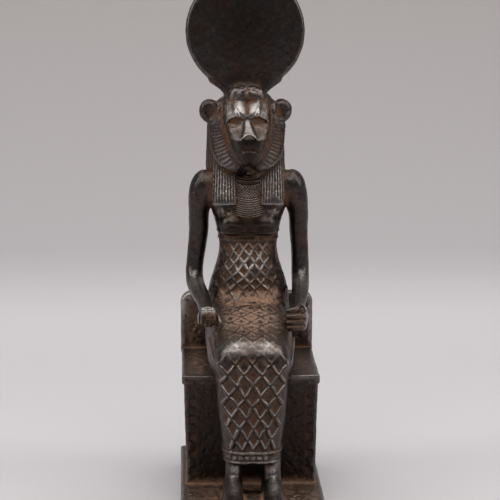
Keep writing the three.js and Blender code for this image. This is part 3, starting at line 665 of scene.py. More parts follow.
@dataclass
class Throne(Part):
    """The plinth and the block throne with its low back, ladder borders and rows of strokes.

    Args:
        half: Half width of the throne's body.
        front: Face of the body, behind the fascia.
        rear: Back of the throne.
    """

    half: float = 34.6
    front: float = 0.9
    rear: float = 73.2
    seed: int = 11

    def model(self, clay: Clay) -> None:
        """Work the throne into the clay."""
        clay.add(Slab((-36.5, -68, UNDERSIDE), (36.5, 74, PLINTH_TOP), 1.3), 0)
        clay.add(Slab((-self.half, self.front, PLINTH_TOP - 2), (self.half, self.rear, -3.6), 0.9, 1.4), 0.8)
        clay.add(Slab((-35.5, 0.7, -4.2), (35.5, self.rear, 0), 0.5), 0.8)
        clay.add(BackPanel(36.0, 65.2, self.rear, 31.0, 6.0, 1.2), 0.5)
        self.ladders(clay)
        self.strokes(clay)
        self.damage(clay)
        clay.emboss((-38, -69, -70), (38, 75, 33), lambda x, y, z: 0.07 * UNEVEN.at(x, y, z, 11.0))

    def ladders(self, clay: Clay) -> None:
        """Sink the cells of the ladder borders beside thin upright lines."""
        foot = self.half - 1.4
        for side in (-1, 1):
            for x in (foot - 0.7, foot - 5.1):
                line = [[side * (x + 0.6), self.front, -5, 0.2, 0.2], [side * x, self.front, -57, 0.2, 0.2]]
                clay.carve(Limb(line), 0.5)
            for y in (4.2, 8.8, 63.4, 68.0):
                line = [[side * self.half, y, -5, 0.35, 0.35], [side * foot, y, -57, 0.35, 0.35]]
                clay.carve(Limb(line), 0.3)
            for i in range(5):
                low = -55.4 + 9.2 * i + 2.4
                a, b = sorted((side * (foot - 1.1), side * (foot - 4.5)))
                clay.carve(Slab((a, -1, low), (b, self.front + 0.35, low + 4.2), 0.4), 0.4)
                for y in (4.8, 64.0):
                    c, d = sorted((side * (foot - 0.5), side * (foot + 3)))
                    clay.carve(Slab((c, y, low), (d, y + 3.4, low + 4.4), 0.4), 0.4)

    def strokes(self, clay: Clay) -> None:
        """Press the rows of shallow strokes, which spell nothing, into the front beside the legs."""
        pick = np.random.default_rng(self.seed)
        face = self.front
        for side in (-1, 1):
            for column in (20.6, 24.6):
                for row in range(11):
                    z = -52.5 + 4.4 * row + pick.uniform(-0.5, 0.5)
                    x = side * (column + pick.uniform(-0.6, 0.6))
                    for _ in range(pick.integers(1, 4)):
                        a = (x + pick.uniform(-1.5, 1.5), z + pick.uniform(-1.4, 1.4))
                        tilt = pick.choice([0.0, 0.0, math.pi / 2, 0.5, 2.4])
                        reach = pick.uniform(0.4, 1.3)
                        b = (a[0] + reach * math.cos(tilt), a[1] + reach * math.sin(tilt))
                        deep = pick.uniform(0.15, 0.3)
                        line = [[end[0], face, end[1], deep, deep] for end in (a, b)]
                        clay.carve(Limb(line), 0.3)

    def damage(self, clay: Clay) -> None:
        """Chip the edges and pit the faces as the years have."""
        pick = np.random.default_rng(self.seed + 1)
        for x, z, wide in ((-28.5, -3.6, 1.6), (25.5, -4.2, 2.8), (28.5, -3.4, 1.5), (-33, -1.0, 1.2)):
            clay.carve(Egg((x, 0.0, z), (wide, 0.9, 0.9)), 0.5)
        for _ in range(260):
            side = pick.choice([-1, 1])
            x, z = side * (18.5 + 12 * pick.beta(1.6, 1.8)), pick.uniform(-55, -6)
            size = pick.uniform(0.25, 0.5)
            clay.carve(Egg((x, self.front, z), (size, size * 0.5, size * pick.uniform(0.6, 1.5))), 0.2)
        for _ in range(40):
            x, z = pick.choice([-1, 1]) * pick.uniform(24, 35), pick.uniform(4, 30)
            size = pick.uniform(0.3, 0.8)
            clay.carve(Egg((x, 65.2, z), (size, size * 0.6, size)), 0.3)
        for _ in range(60):
            x, y = pick.uniform(-35, 35), pick.uniform(-66, -2)
            size = pick.uniform(0.3, 0.9)
            clay.carve(Egg((x, y, PLINTH_TOP), (size, size, size * 0.6)), 0.3)
        for x, z in ((33.5, UNDERSIDE + 8), (-36, UNDERSIDE + 6)):
            clay.carve(Egg((x, -68, z), (2.2, 1.4, 2.0)), 0.8)


@dataclass
class BackPanel:
    """The upright back of the throne, with rounded upper corners.

    Args:
        half: Half its width.
        front: Its front face.
        rear: Its rear face.
        top: Its height above the seat.
        corner: Radius of its upper corners.
        edge: Radius of its edges.
    """

    half: float
    front: float
    rear: float
    top: float
    corner: float
    edge: float

    def box(self) -> tuple[Point, Point]:
        """Give the lowest and the highest corner."""
        return (-self.half, self.front, -3.0), (self.half, self.rear, self.top)

    def distance(self, x: Grid, y: Grid, z: Grid) -> Grid:
        """Give the distance to the panel's skin."""
        wide = np.abs(x) - self.half + self.corner
        high = z - self.top + self.corner
        outline = np.hypot(np.maximum(wide, 0), np.maximum(high, 0)) + np.minimum(np.maximum(wide, high), 0)
        outline = np.maximum(outline - self.corner, -3.0 - z)
        middle, thick = (self.front + self.rear) / 2, (self.rear - self.front) / 2
        return meet(outline, np.abs(y - middle) - thick, self.edge * 2)


@dataclass
class Dress(Part):
    """The belly, lap and shins in the tight dress, with the bead net and the hem."""

    def model(self, clay: Clay) -> None:
        """Work the dress into the clay."""
        belly = [row for row in torso_rows() if row[0] < 62] + [torso_row(64.6), torso_row(66.6, 1.0)]
        clay.add(Loft(belly, TORSO_AXIS, square=2.15, edge=0.5), 0)
        lap = [[y, wide, 8 if y < -8 else LAP_CORE + 1.5, top - LAP_CORE] for y, wide, top in LAP_ROWS]
        clay.add(Loft(lap, LAP_CORE, along=1, square=2.7, edge=3.5), 6.0)
        shins = [[z, wide, SHIN_CORE - front, 14.4] for z, wide, front in SHIN_ROWS]
        clay.add(Loft(shins, SHIN_CORE, square=2.7, edge=1.2), 2.5)
        self.groove(clay)
        self.seams(clay)
        self.nets(clay)
        self.hem(clay)

    def groove(self, clay: Clay) -> None:
        """Press the shallow valley between the thighs and between the shins."""
        def valley(x: Grid, y: Grid, z: Grid) -> Grid:
            """Sink the middle a little."""
            return -0.55 * np.exp(-(x / 3.2) ** 2) * smooth(40, 20, y)
        clay.emboss((-8, -32, -40), (8, 40, 40), valley)

    def seams(self, clay: Clay) -> None:
        """Leave the thin flashes of the casting down the sides of the thighs."""
        for run in (
            [[-21.4, 2, 19.5], [-21.1, -4, 18.6], [-20.6, -10, 17.4], [-19.4, -16, 15], [-17.6, -21.5, 11.4]],
            [[-19.2, -4, 23.4], [-18.8, -9, 21.8], [-18.5, -14, 19.6], [-17.4, -18, 18]],
            [[21.9, 2, 19.5], [21.5, -4, 18.4], [21.0, -10, 16.8], [20.0, -15.5, 14.4], [18.6, -20, 11]],
        ):
            clay.add(Limb([[*place, 0.75, 0.75] for place in run]), 0.5)

    def nets(self, clay: Clay) -> None:
        """Lay the net over the belly and over the lap and the shins."""
        torso = Curve(torso_rows())
        belly = []
        for z in (64, 61, 55.5, 48.5, 42.5, 36):
            wide, front, _ = (float(v) for v in torso.at(z))
            belly.append([TORSO_AXIS - front, z, wide * 0.98, 0.62, 0.85, 0.0])
        self.belly_net = BeadNet(belly, 6, 8)

        def belly_relief(x: Grid, y: Grid, z: Grid) -> Grid:
            """Raise the belly's net, worn away at the sides, on a rough ground."""
            side = smooth(9, 14, np.abs(x))
            ground = 0.22 * GRAIN.at(x, y, z, 1.5) + 0.25 * UNEVEN.at(x, y, z, 3.0)
            share = np.clip(0.75 + 0.7 * UNEVEN.at(x, y, z, 4.0), 0.2, 1.15) * (1 - 0.6 * side)
            return self.belly_net.height(x, y, z) * share + ground * (0.3 + 0.7 * side)
        clay.emboss(*self.belly_net.box(), belly_relief)
        lap, shin = Curve(LAP_ROWS), Curve(SHIN_ROWS)
        line = []
        for y in (30, 26, 18, 9, 0, -8, -14, -19):
            wide, top = (float(v) for v in lap.at(y))
            high = 0.1 if y > 14 else 0.3 if y < -12 else 0.55
            line.append([y, top, wide * 0.92, 0.62, high, 0.3])
        line.append([-26.6, 20.9, 17.6, 0.7, 0.06, 0.0])
        for z in (13, 9, 4, -4, -12, -20, -26, -31.5):
            wide, front = (float(v) for v in shin.at(z))
            line.append([front, z, wide * (0.9 + 0.005 * z), 0.8, 0.4 if z > 11 else 0.85, 0.0])
        self.dress_net = BeadNet(line, 4, 20, seed=8)

        def dress_relief(x: Grid, y: Grid, z: Grid) -> Grid:
            """Raise the dress's net, which the lap's sides and back have lost under the dust."""
            lap_side = smooth(20, 23, z) * smooth(12.5, 15.5, np.abs(x))
            grain = 0.16 * GRAIN.at(x, y, z, 1.3) + 0.35 * UNEVEN.at(x, y, z, 2.2) * smooth(12, 22, y)
            ground = grain * smooth(22, 25, z) * smooth(-20, -12, y)
            return self.dress_net.height(x, y, z) * (1 - 0.85 * lap_side) + ground
        clay.emboss(*self.dress_net.box(), dress_relief)

    def marks(self, x: Grid, y: Grid, z: Grid) -> dict["Dirt", Grid]:
        """Tell where the upper bevels of the net's bands have painted highlights, where its bands and the
        floors of the belly's cells are darker, and where the fold of the lap is dusty.
        """
        belly, strand = self.belly_net.bright_marks(x, y, z)
        floor = (1 - strand) * smooth(38, 44, z) * smooth(67, 64, z) * smooth(40, 36, y)
        fold = smooth(42, 39, z) * smooth(31, 34, z) * smooth(15, 19, y) * smooth(34, 30, y)
        fold = fold * smooth(19, 15, np.abs(x)) * smooth(-0.5, 0.3, GRAIN.at(x, y, z, 2.5))
        bevel, band = self.dress_net.bright_marks(x, y, z)
        shin = smooth(17, 13, z)
        bright = bevel * shin * (0.9 + 0.5 * UNEVEN.at(x, y, z, 5.0))
        # Painted highlights on the upper bevels of the bands on the shins and the belly; darker bands and cell
        # floors.
        return {Dirt.POLISH: bright + 0.4 * belly * smooth(11, 7, np.abs(x)), Dirt.DUST: 0.6 * fold,
                Dirt.SOOT: np.maximum(0.95 * band * shin, 0.8 * floor)}

    def hem(self, clay: Clay) -> None:
        """Raise the two lines and the dashes of the hem."""
        def band(x: Grid, y: Grid, z: Grid) -> Grid:
            """Raise the hem's band, its lines and its dashes."""
            lines = sum(np.exp(-((z - level) / 0.62) ** 2) for level in (-38.3, -33.0))
            cells = np.abs(((x + 20) / 3.1) % 1.0 - 0.5)
            dashes = smooth(0.36, 0.28, cells) * smooth(1.3, 0.9, np.abs(z + 35.6))
            return 0.35 * smooth(-31.9, -32.6, z) + 0.5 * lines + 0.3 * dashes * smooth(9, 7, x)
        clay.emboss((-20, -32, -40), (20, -4, -31), band)


@dataclass
class Feet(Part):
    """Ankles and feet with toes, and the low web of metal between the feet."""

    def model(self, clay: Clay) -> None:
        """Work the feet into the clay."""
        for side in (-1, 1):
            middle = side * 10.2
            wide = 4.2 if side < 0 else 4.9
            shank = [[-38.6, wide, 5.2, 5.7], [-45, wide, 5.4, 5.7], [-50, wide + 0.2, 6.4, 7.3],
                     [-56, wide + 0.5, 7.6, 8.7]]
            lean = ((-60, side * 9.6), (-30, side * 9.6))
            clay.add(Loft(shank, -19.5, lean=lean), 1.6)
            rows = [[-10, 3.2, 1.5, 4], [-14, 4.6, 1.5, 8], [-22, 5, 1.5, 11.6], [-31, 5.3, 1.5, 9.6],
                    [-42, 5.8, 1.5, 6.2], [-55, 6, 1.5, 4]]
            clay.add(Loft(rows, PLINTH_TOP, along=1, square=2.3, lean=((-70, middle), (0, middle))), 2.0)
            for i in range(5):
                x = middle + side * (-4.6 + 2.3 * i)
                wide = 1.45 if i == 0 else 1.15
                tip = -60.5 + 0.9 * i
                toe = [[x, -50, PLINTH_TOP + 3.1, wide, 1.8], [x, tip + 3, PLINTH_TOP + 2.1, wide, 1.7],
                       [x, tip, PLINTH_TOP + 1.3, wide * 0.7, 1]]
                clay.add(Limb(toe), 0.5)
                clay.carve(Egg((x, tip + 1.6, PLINTH_TOP + 3.4), (wide * 0.55, 1.0, 0.4)), 0.3)
        web = [[-23, 6, 1.5, 1.6], [-27, 6, 1.5, 3], [-50, 6, 1.5, 3]]
        clay.add(Loft(web, PLINTH_TOP, along=1, square=3), 1.2)


@dataclass
class Bust(Part):
    """The chest with breasts, belt and shoulders, above the belly's net."""

    def model(self, clay: Clay) -> None:
        """Work the chest into the clay."""
        rows = [torso_row(60.5, 1.2), torso_row(63.4)] + [row for row in torso_rows() if row[0] > 66]
        clay.add(Loft(rows, TORSO_AXIS, square=2.15, edge=0.8), 0)
        for side in (-1, 1):
            clay.add(Egg((side * 8, 35, 73.4), (7.4, 6.4, 6.2)), 1.6)
            clay.add(Egg((side * 23, 46, 92.6), (7.2, 7.6, 7.4)), 3.0)

        def belt(x: Grid, y: Grid, z: Grid) -> Grid:
            """Raise the belt's two lines with a row of beads between them."""
            lines = sum(np.exp(-((z - level) / 0.7) ** 2) for level in (65.2, 69.0))
            beads = smooth(0.1, 0.8, np.cos(x * 2 * math.pi / 1.9)) * np.exp(-((z - 66.6) / 0.8) ** 2)
            return 0.45 * lines + 0.12 * beads
        clay.emboss((-20, 20, 62), (20, 62, 71), belt)

        def patches(x: Grid, y: Grid, z: Grid) -> Grid:
            """Roughen the metal under the lappets' feet and sink it under the breasts."""
            spot = np.exp(-((np.abs(x) - 12.6) / 5.2) ** 4 - ((z - 80.2) / 2.0) ** 2)
            ragged = 0.5 + 0.9 * GRAIN.at(x, y, z, 1.5) + 0.6 * UNEVEN.at(x, y, z, 3.2)
            hollow = np.exp(-((np.abs(x) - 8.6) / 3.4) ** 2 - ((z - 71.8) / 1.8) ** 2)
            return 0.45 * ragged * spot - 0.9 * hollow
        clay.emboss((-20, 20, 68), (20, 42, 84), patches)

    def marks(self, x: Grid, y: Grid, z: Grid) -> dict["Dirt", Grid]:
        """Tell where painted highlights lie on the metal under the lappets and painted shade in the hollows
        under the breasts.
        """
        patch = np.exp(-((np.abs(x) - 12.6) / 5.0) ** 4 - ((z - 80.4) / 1.8) ** 2) * smooth(38, 34, y)
        hollow = np.exp(-((np.abs(x) - 8.6) / 4.2) ** 2 - ((z - 71.8) / 2.0) ** 2) * smooth(38, 34, y)
        # Painted highlights under the lappets; painted shade under the breasts.
        return {Dirt.POLISH: 0.35 * patch * smooth(-0.3, 0.4, GRAIN.at(x, y, z, 1.5)), Dirt.SOOT: hollow}


@dataclass
class Arms(Part):
    """Both arms down to the wrists, and the two fists on the thighs."""

    def model(self, clay: Clay) -> None:
        """Work the arms into the clay."""
        right = [
            [23.4, 46, 95, 5.4, 6], [24.8, 46.3, 89, 6.4, 7.4], [26.8, 47.5, 78, 5.3, 6.2],
            [27.1, 48.5, 68, 4.9, 5.6], [27.8, 48.8, 56, 4.6, 5.2], [28, 48, 46, 4.6, 5.4],
            [27.8, 43, 40.5, 4.6, 5.2], [27, 33, 36.5, 4.3, 4.6], [25.8, 23, 33.8, 3.8, 4],
            [24.4, 10, 30.6, 3.5, 3.6],
        ]
        left = [
            [-23.4, 46, 95, 5.4, 6], [-24.8, 46.3, 89, 6.4, 7.4], [-26.1, 47.5, 78, 5.4, 6.2],
            [-26.2, 48.5, 68, 5.1, 5.6], [-27.6, 48.8, 56, 4.7, 5.2], [-28.6, 48, 46, 4.6, 5.4],
            [-28, 43, 40.5, 4.6, 5.2], [-26, 33, 37.5, 4.4, 4.6], [-24, 23, 35, 3.9, 4],
            [-22.5, 10, 31.5, 3.5, 3.6],
        ]
        for stations in (right, left):
            clay.add(Limb(stations), 1.2)
        self.left_fist(clay)
        self.right_fist(clay)

    def left_fist(self, clay: Clay) -> None:
        """Model the fist whose fingers hang side by side over the knuckles."""
        palm = [[-22.2, 17, 31.6, 3.4, 3.8], [-22.1, 10, 30.9, 3.9, 4.2], [-22, 6, 30.2, 3.5, 4.4]]
        clay.add(Limb(palm), 0.8)
        for x, low in ((-24.7, 27.4), (-22.8, 26.2), (-20.9, 26.0), (-19.1, 27.0)):
            finger = [[x, 7.5, 34.0, 1.1, 1.1], [x, 3.2, 33.0, 1.2, 1.2], [x, 1.4, 30.0, 1.2, 1.2],
                      [x, 2.0, low + 0.8, 1.15, 1.15], [x, 4.6, low, 1.05, 1.05]]
            clay.add(Limb(finger, 0.9), 0.5)
        hood = [[-26.6, 6.4, 26.5, 0.5, 0.5], [-26.9, 6.0, 30.5, 0.55, 0.55],
                [-25.4, 5.0, 33.9, 0.6, 0.6], [-22.2, 4.4, 35.2, 0.65, 0.65],
                [-19.2, 5.0, 34.4, 0.6, 0.6], [-18.0, 6.0, 32.6, 0.5, 0.5]]
        clay.add(Limb(hood, 0.9), 0.3)
        clay.add(Limb([[-17.6, 9, 31.4, 1.4, 1.4], [-16.6, 5.4, 29.8, 1.3, 1.3], [-15.8, 2.8, 28.0, 1.2, 1.2],
                       [-15.2, 2.2, 26.0, 1.0, 1.0]]), 0.5)

    def right_fist(self, clay: Clay) -> None:
        """Model the fist held on edge, with its fingers one above another."""
        clay.add(Limb([[25, 16, 31, 3.4, 4], [24.2, 11, 29.6, 4.2, 4.8], [23.8, 8.6, 28.8, 4.4, 4.8]]), 0.8)
        for z in (24.6, 27.7, 30.8):
            clay.add(Limb([[27.4, 7.0, z, 1.45, 1.45], [26.6, 3.2, z, 1.5, 1.5], [22.8, 1.9, z, 1.55, 1.55],
                           [19.6, 2.6, z - 0.2, 1.5, 1.5], [18.3, 5.4, z - 0.3, 1.4, 1.4]], 0.9), 0.35)
        clay.add(Limb([[25.4, 9.0, 34.6, 1.6, 1.6], [24.0, 4.4, 34.2, 1.6, 1.5], [21.4, 2.8, 33.8, 1.55, 1.5],
                       [19.0, 3.8, 33.4, 1.4, 1.4]]), 0.4)
        rim = [[26.6, 7.0, 36.0, 0.7, 0.7], [28.4, 6.2, 33.4, 0.75, 0.75], [29.0, 5.6, 29.4, 0.8, 0.8],
               [28.4, 5.8, 25.4, 0.7, 0.7], [26.6, 6.2, 22.6, 0.6, 0.6]]
        clay.add(Limb(rim, 0.9), 0.3)

    def marks(self, x: Grid, y: Grid, z: Grid) -> dict["Dirt", Grid]:
        """Tell where the rims of the fists have painted highlights and their fingers are dark and rusty."""
        near = smooth(9, 7, y)
        left = smooth(-17.5, -18.5, x) * smooth(-26.2, -25.2, x) * smooth(33.6, 32.4, z) * near
        hood = np.exp(-((z - 34.7) / 0.8) ** 2) * smooth(-16.8, -17.8, x) * smooth(7.0, 5.8, y)
        edge = smooth(-26.3, -26.9, x) * near
        right = smooth(17.2, 18.2, x) * smooth(27.6, 26.8, x) * smooth(36.5, 34.5, z) * near
        rim = smooth(27.9, 28.5, x) * near
        # Painted highlights on the thumb's top and the fists' rims.
        return {Dirt.POLISH: 0.9 * hood + 0.6 * edge + 0.9 * rim, Dirt.SOOT: 1.0 * left + 0.85 * right,
                Dirt.RUST: (0.5 * left + 0.5 * right) * smooth(-0.1, 0.4, GRAIN.at(x, y, z, 2.2))}


@dataclass
class Wig(Part):
    """The striped wig round the head and its two lappets over the chest."""

    def model(self, clay: Clay) -> None:
        """Work the wig into the clay."""
        rows = [
            [84, 16, 4, 17], [92, 18.5, 4, 17.6], [99.5, 20.6, 8, 17.8], [108, 20.6, 11, 17.8],
            [118, 20.2, 13.6, 18], [127, 19.7, 16.4, 17.4], [133, 17.8, 17, 15.6], [137.4, 14.8, 15.4, 13],
            [140.4, 11.5, 12, 10],
        ]
        lean = ((84, 0.0), (104, LEAN), (150, LEAN))
        clay.add(Loft(rows, TORSO_AXIS + 1, square=2.1, lean=lean, edge=1.5), 0)

        def stripes(x: Grid, y: Grid, z: Grid) -> Grid:
            """Groove the wig in fine upright stripes."""
            angle = np.arctan2((y - TORSO_AXIS - 1) / 17.0, (x - LEAN) / 20.0)
            wave = np.cos(angle * 66 + 0.8 * UNEVEN.at(x, y, z, 12.0))
            return 0.24 * wave * smooth(134, 128, z)
        clay.emboss((-24, 28, 82), (22, 68, 136), stripes)
        for side in (-1, 1):
            self.lappet(clay, side)

    def lappet(self, clay: Clay, side: int) -> None:
        """Hang one striped lappet over the chest."""
        form = Lappet(side * 12.4 + (-0.1 if side < 0 else -0.3))
        clay.add(form, 0.6)
        low, high = form.box()
        clay.emboss((low[0], low[1] - 1, low[2]), (high[0], 40, high[2] - 4), form.stripes)


@dataclass
class Lappet:
    """One flat lappet of the wig.

    Args:
        middle: Its middle on X.
    """

    middle: float
    rows: list = field(default_factory=lambda: [
        [83.4, 12.6, 29.6], [85.2, 13, 28.4], [94, 12.6, 30.6], [103, 12, 33.4], [112, 11, 36]])

    def box(self) -> tuple[Point, Point]:
        """Give the lowest and the highest corner."""
        return (self.middle - 6.6, 27.5, 83.4), (self.middle + 6.6, 43.0, 112.0)

    def distance(self, x: Grid, y: Grid, z: Grid) -> Grid:
        """Give the distance to the lappet's skin."""
        wide, front = Curve(self.rows).at(z)
        share = np.clip((x - self.middle) / (wide / 2), -1.3, 1.3)
        face = front + 2.2 * share * share - y
        side = np.abs(x - self.middle) - wide / 2
        ends = np.maximum(83.4 - z, z - 112.0)
        return meet(meet(side, face, 1.6), meet(y - 42.0, ends, 1.0), 1.6)

    def stripes(self, x: Grid, y: Grid, z: Grid) -> Grid:
        """Groove the lappet in upright stripes."""
        wide, _ = Curve(self.rows).at(z)
        share = (x - self.middle) / wide + 0.5
        wave = np.cos(2 * math.pi * 9.0 * share + 1.1 * UNEVEN.at(x, y, z, 9.0))
        grain = 0.1 * GRAIN.at(x, y, z, 1.1)
        return ((0.3 + 0.12 * UNEVEN.at(x, y, z, 4.0)) * wave + grain - 0.08) * smooth(84.8, 89.5, z)


@dataclass
class Mane(Part):
    """The pleated mane at each side of the face, and the smooth band that frames the face."""

    inner: Curve = field(default_factory=lambda: Curve([
        [0, 12.4, 32.0, 134.5], [0.2, 12.2, 30.6, 129.2], [0.42, 10.6, 29.0, 123.0], [0.62, 8.9, 27.8, 118.4],
        [0.8, 6.8, 26.6, 112.8], [0.92, 4.8, 25.8, 109.4], [1, 2.6, 25.4, 107.0]]))
    outer: Curve = field(default_factory=lambda: Curve([
        [0, 17.0, 35.0, 133.0], [0.25, 17.9, 34.6, 126.4], [0.5, 17.9, 33.8, 118.6], [0.75, 16.4, 32.2, 110.4],
        [0.9, 12.6, 30.6, 105.4], [1, 7.0, 29.0, 103.8]]))

    def place(self, side: int, t: float, share: float, back: float) -> list[float]:
        """Give a point on the mane.

        Args:
            side: Which side of the face, -1 or 1.
            t: Share of the way from the brow to the chin.
            share: Share of the way from the face to the mane's outer edge.
            back: How far the point lies behind the mane's face.

        Returns:
            Its place.
        """
        a, b = self.inner.at(t), self.outer.at(t)
        x, y, z = (float(p + (q - p) * share) for p, q in zip(a, b))
        return [side * x + LEAN / 2, y + back, z]

    def model(self, clay: Clay) -> None:
        """Work the mane into the clay."""
        for side in (-1, 1):
            for share in (0.12, 0.5, 0.88):
                body = []
                for t in np.linspace(0.03, 1, 10):
                    swell = min(1, 4 * t)
                    body.append(self.place(side, t, share, 3.6 - 0.6 * swell) + [1.5 + 1.2 * swell] * 2)
                clay.add(Limb(body), 1.8)
            clay.add(Egg((side * 11.6 + LEAN, 38.6, 132.6), (6.2, 5.2, 6.4)), 3.0)
            for t in np.linspace(0.1, 0.97, 17):
                thick = 0.72 if side < 0 else 0.6
                ridge = [self.place(side, t, share, back) + [wide * thick, wide * thick] for share, back, wide
                         in ((0.22, 1.0, 0.8), (0.4, 0.45, 1.0), (0.7, 0.3, 1.05), (0.94, 0.6, 1.0))]
                clay.add(Limb(ridge, 1.2), 0.35)
            rim = [self.place(side, t, 1.0, 0.9) + [0.75, 0.75] for t in np.linspace(0.03, 0.92, 7)]
            clay.add(Limb(rim), 0.4)
        self.under_chin(clay)

        def cast(x: Grid, y: Grid, z: Grid) -> Grid:
            """Roughen the temples between the ears and the brow."""
            temple = np.exp(-((np.abs(x - LEAN) - 14.5) / 4.0) ** 2 - ((z - 133.5) / 5.5) ** 2)
            return 0.5 * temple * (GRAIN.at(x, y, z, 1.6) + UNEVEN.at(x, y, z, 3.0))
        clay.emboss((-22, 26, 124), (20, 44, 142), cast)

    def marks(self, x: Grid, y: Grid, z: Grid) -> dict["Dirt", Grid]:
        """Tell where earth fills the slope between the face and the pleats."""
        across = np.abs(x - LEAN / 2)
        t = np.clip((134.5 - z) / 27, 0, 1)
        inner = self.inner.at(t)[0]
        slope = smooth(inner + 0.1, inner + 0.8, across) * smooth(inner + 4.2, inner + 2.4, across)
        reach = smooth(131, 126, z) * smooth(105, 108, z) * smooth(38, 33, y)
        return {Dirt.RUST: (0.45 + 0.4 * GRAIN.at(x, y, z, 2.0)) * slope * reach}

    @staticmethod
    def under_chin(clay: Clay) -> None:
        """Leave the metal under the chin lumpy, as it came from the mould."""
        pick = np.random.default_rng(5)
        for _ in range(34):
            x, z = pick.uniform(-8.5, 8.5), pick.uniform(98.5, 107.5)
            size = pick.uniform(0.9, 2.0)
            place = (x + LEAN / 2, 35.6 - (z - 98.5) * 0.5, z)
            clay.add(Egg(place, (size, size, size * pick.uniform(0.7, 1.6)), pick.uniform(-40, 40)), 0.7)


@dataclass
class Mask:
    """The lion's face as a relief: how far forward each spot of it stands.

    Args:
        rows: Stations [z, half width, front of the middle, front of the edge, half width of the bridge,
            how high the cheeks start beside the bridge].
        brow: Stations [distance from the middle, height of the brow's lower edge].
    """

    rows: Curve = field(default_factory=lambda: Curve([
        [105.5, 2.4, 20.5, 23.0, 0.6, 1.0], [107.0, 3.4, 16.8, 21.0, 0.8, 1.0],
        [108.4, 4.2, 15.2, 20.4, 1.0, 1.0], [110.3, 5.2, 14.4, 20.6, 1.6, 1.0],
        [112.5, 6.3, 13.9, 21.6, 2.2, 1.0], [115, 7.4, 13.5, 23.2, 3.0, 1.0],
        [118, 8.6, 13.1, 25.2, 3.6, 0.97], [120.5, 9.6, 13.4, 26.6, 3.6, 0.9],
        [122.5, 10.4, 15.2, 27.7, 3.0, 0.84], [124.5, 11.1, 18.2, 28.6, 2.2, 0.78],
        [127, 11.8, 21.4, 29.4, 1.6, 0.76], [129.5, 12.0, 23.6, 30.2, 1.3, 0.84],
        [132, 12.0, 24.6, 30.6, 5.2, 0.9], [134.5, 11.9, 25.7, 31.4, 6.2, 0.9],
        [137, 11.5, 27.6, 32.6, 6.4, 0.85], [139.5, 10.8, 30.2, 34.6, 6.0, 0.8],
        [142, 9.5, 33.6, 37.0, 5.0, 0.7]]))
    brow: tuple = ((0, 130.9), (1.4, 130.1), (3.5, 131.0), (5.5, 131.0), (7.5, 130.3), (9.0, 129.4),
                   (10.2, 128.2), (11.8, 126.4))

    def box(self) -> tuple[Point, Point]:
        """Give the lowest and the highest corner."""
        return (-15.0, 10.0, 105.5), (14.0, 40.0, 142.0)

    @staticmethod
    def across(x: Grid, z: Grid) -> Grid:
        """Give the distance from the middle of the face, which looks a little to one side."""
        return x + 0.35 + 0.75 * smooth(122, 131, z)

    def lines(self, far: Grid) -> tuple[Grid, Grid]:
        """Give the height of the brow's lower edge and of the nose pad's upper edge."""
        places, heights = zip(*self.brow)
        pad = np.maximum(122.7 - 0.16 * far * far, 119.9)
        return np.interp(far, places, heights).astype(np.float32), pad

    @staticmethod
    def slit(far: Grid) -> Grid:
        """Give the height of the eye's slit."""
        return 128.9 - 0.12 * far

    def front(self, x: Grid, z: Grid) -> Grid:
        """Give how far forward the face stands."""
        u = self.across(x, z)
        far = np.abs(u)
        wide, middle, edge, bridge, cheek = self.rows.at(z)
        slope = cheek * np.clip((wide - far) / (wide - bridge), 0, 1)
        rise = 1 + (slope - 1) * smooth(bridge - 0.9, bridge + 1.9, far)
        round_share = smooth(123.0, 120.0, z)
        rise = rise + ((1 - np.clip(far / wide, 0, 1) ** 2.4) ** 0.6 - rise) * round_share
        out = edge + (middle - edge) * rise + 2.0 * np.maximum(far - wide, 0)
        return out - self.upper(u, z) - self.lower(u, z)

    def upper(self, u: Grid, z: Grid) -> Grid:
        """Give the relief of the forehead, the brows and the eyes."""
        far = np.abs(u)
        brow, _ = self.lines(far)
        high = 1.2 * np.exp(-((far - 2.6 - 0.22 * (z - 131)) / 2.4) ** 2 - ((z - 134.8) / 4.0) ** 2)
        high = high - 0.8 * np.exp(-(u / 0.75) ** 2) * smooth(131, 133, z)
        cleft = ((far - 2.6) * 6.4 - (z - 130.6) * 3.4) / 7.25
        high = high - 0.5 * np.exp(-(cleft / 0.4) ** 2) * smooth(130.4, 131.4, z) * smooth(138, 136.5, z)
        high = high + 0.9 * smooth(-0.4, 0.5, z - brow) * smooth(6.5, 1.5, z - brow) * smooth(12, 10.5, far)
        eye = smooth(3.2, 4.4, far) * smooth(10.2, 9.0, far)
        line = self.slit(far)
        high = high - 0.5 * np.exp(-((z - line - 1.0) / 0.8) ** 2) * eye
        high = high + 0.6 * np.exp(-((far - 6.8) / 2.8) ** 2 - ((z - line + 1.4) / 1.0) ** 2)
        return high - 0.8 * np.exp(-((z - line) / 0.42) ** 2) * eye

    def lower(self, u: Grid, z: Grid) -> Grid:
        """Give the relief of the cheeks, the nose pad, the mouth and the smooth band round the face."""
        far = np.abs(u)
        _, pad = self.lines(far)
        wide, _, _, bridge, _ = self.rows.at(z)
        crease = smooth(121, 123, z) * smooth(129.5, 127.5, z)
        high = -0.5 * np.exp(-((far - bridge - 1.0) / 0.6) ** 2) * crease
        rim = smooth(wide - 2.1, wide - 1.6, far) * smooth(wide + 0.4, wide - 0.3, far)
        high = high + 0.4 * rim * smooth(140, 134, z) * smooth(117, 121, z)
        high = high - 0.55 * smooth(pad + 0.25, pad - 0.25, z) * smooth(wide + 0.5, wide - 0.5, far)
        mouth = np.exp(-((z - 115.1 + 0.03 * far * far) / 0.42) ** 2) * smooth(5.8, 4.8, far)
        high = high - 0.9 * mouth * smooth(0.2, 1.6, far)
        high = high + 0.5 * np.exp(-((z - 114.3 + 0.25 * far) / 0.36) ** 2) * smooth(5.2, 4.4, far)
        return high - 0.25 * np.exp(-(u / 0.5) ** 2) * smooth(119, 118, z) * smooth(115, 116, z)

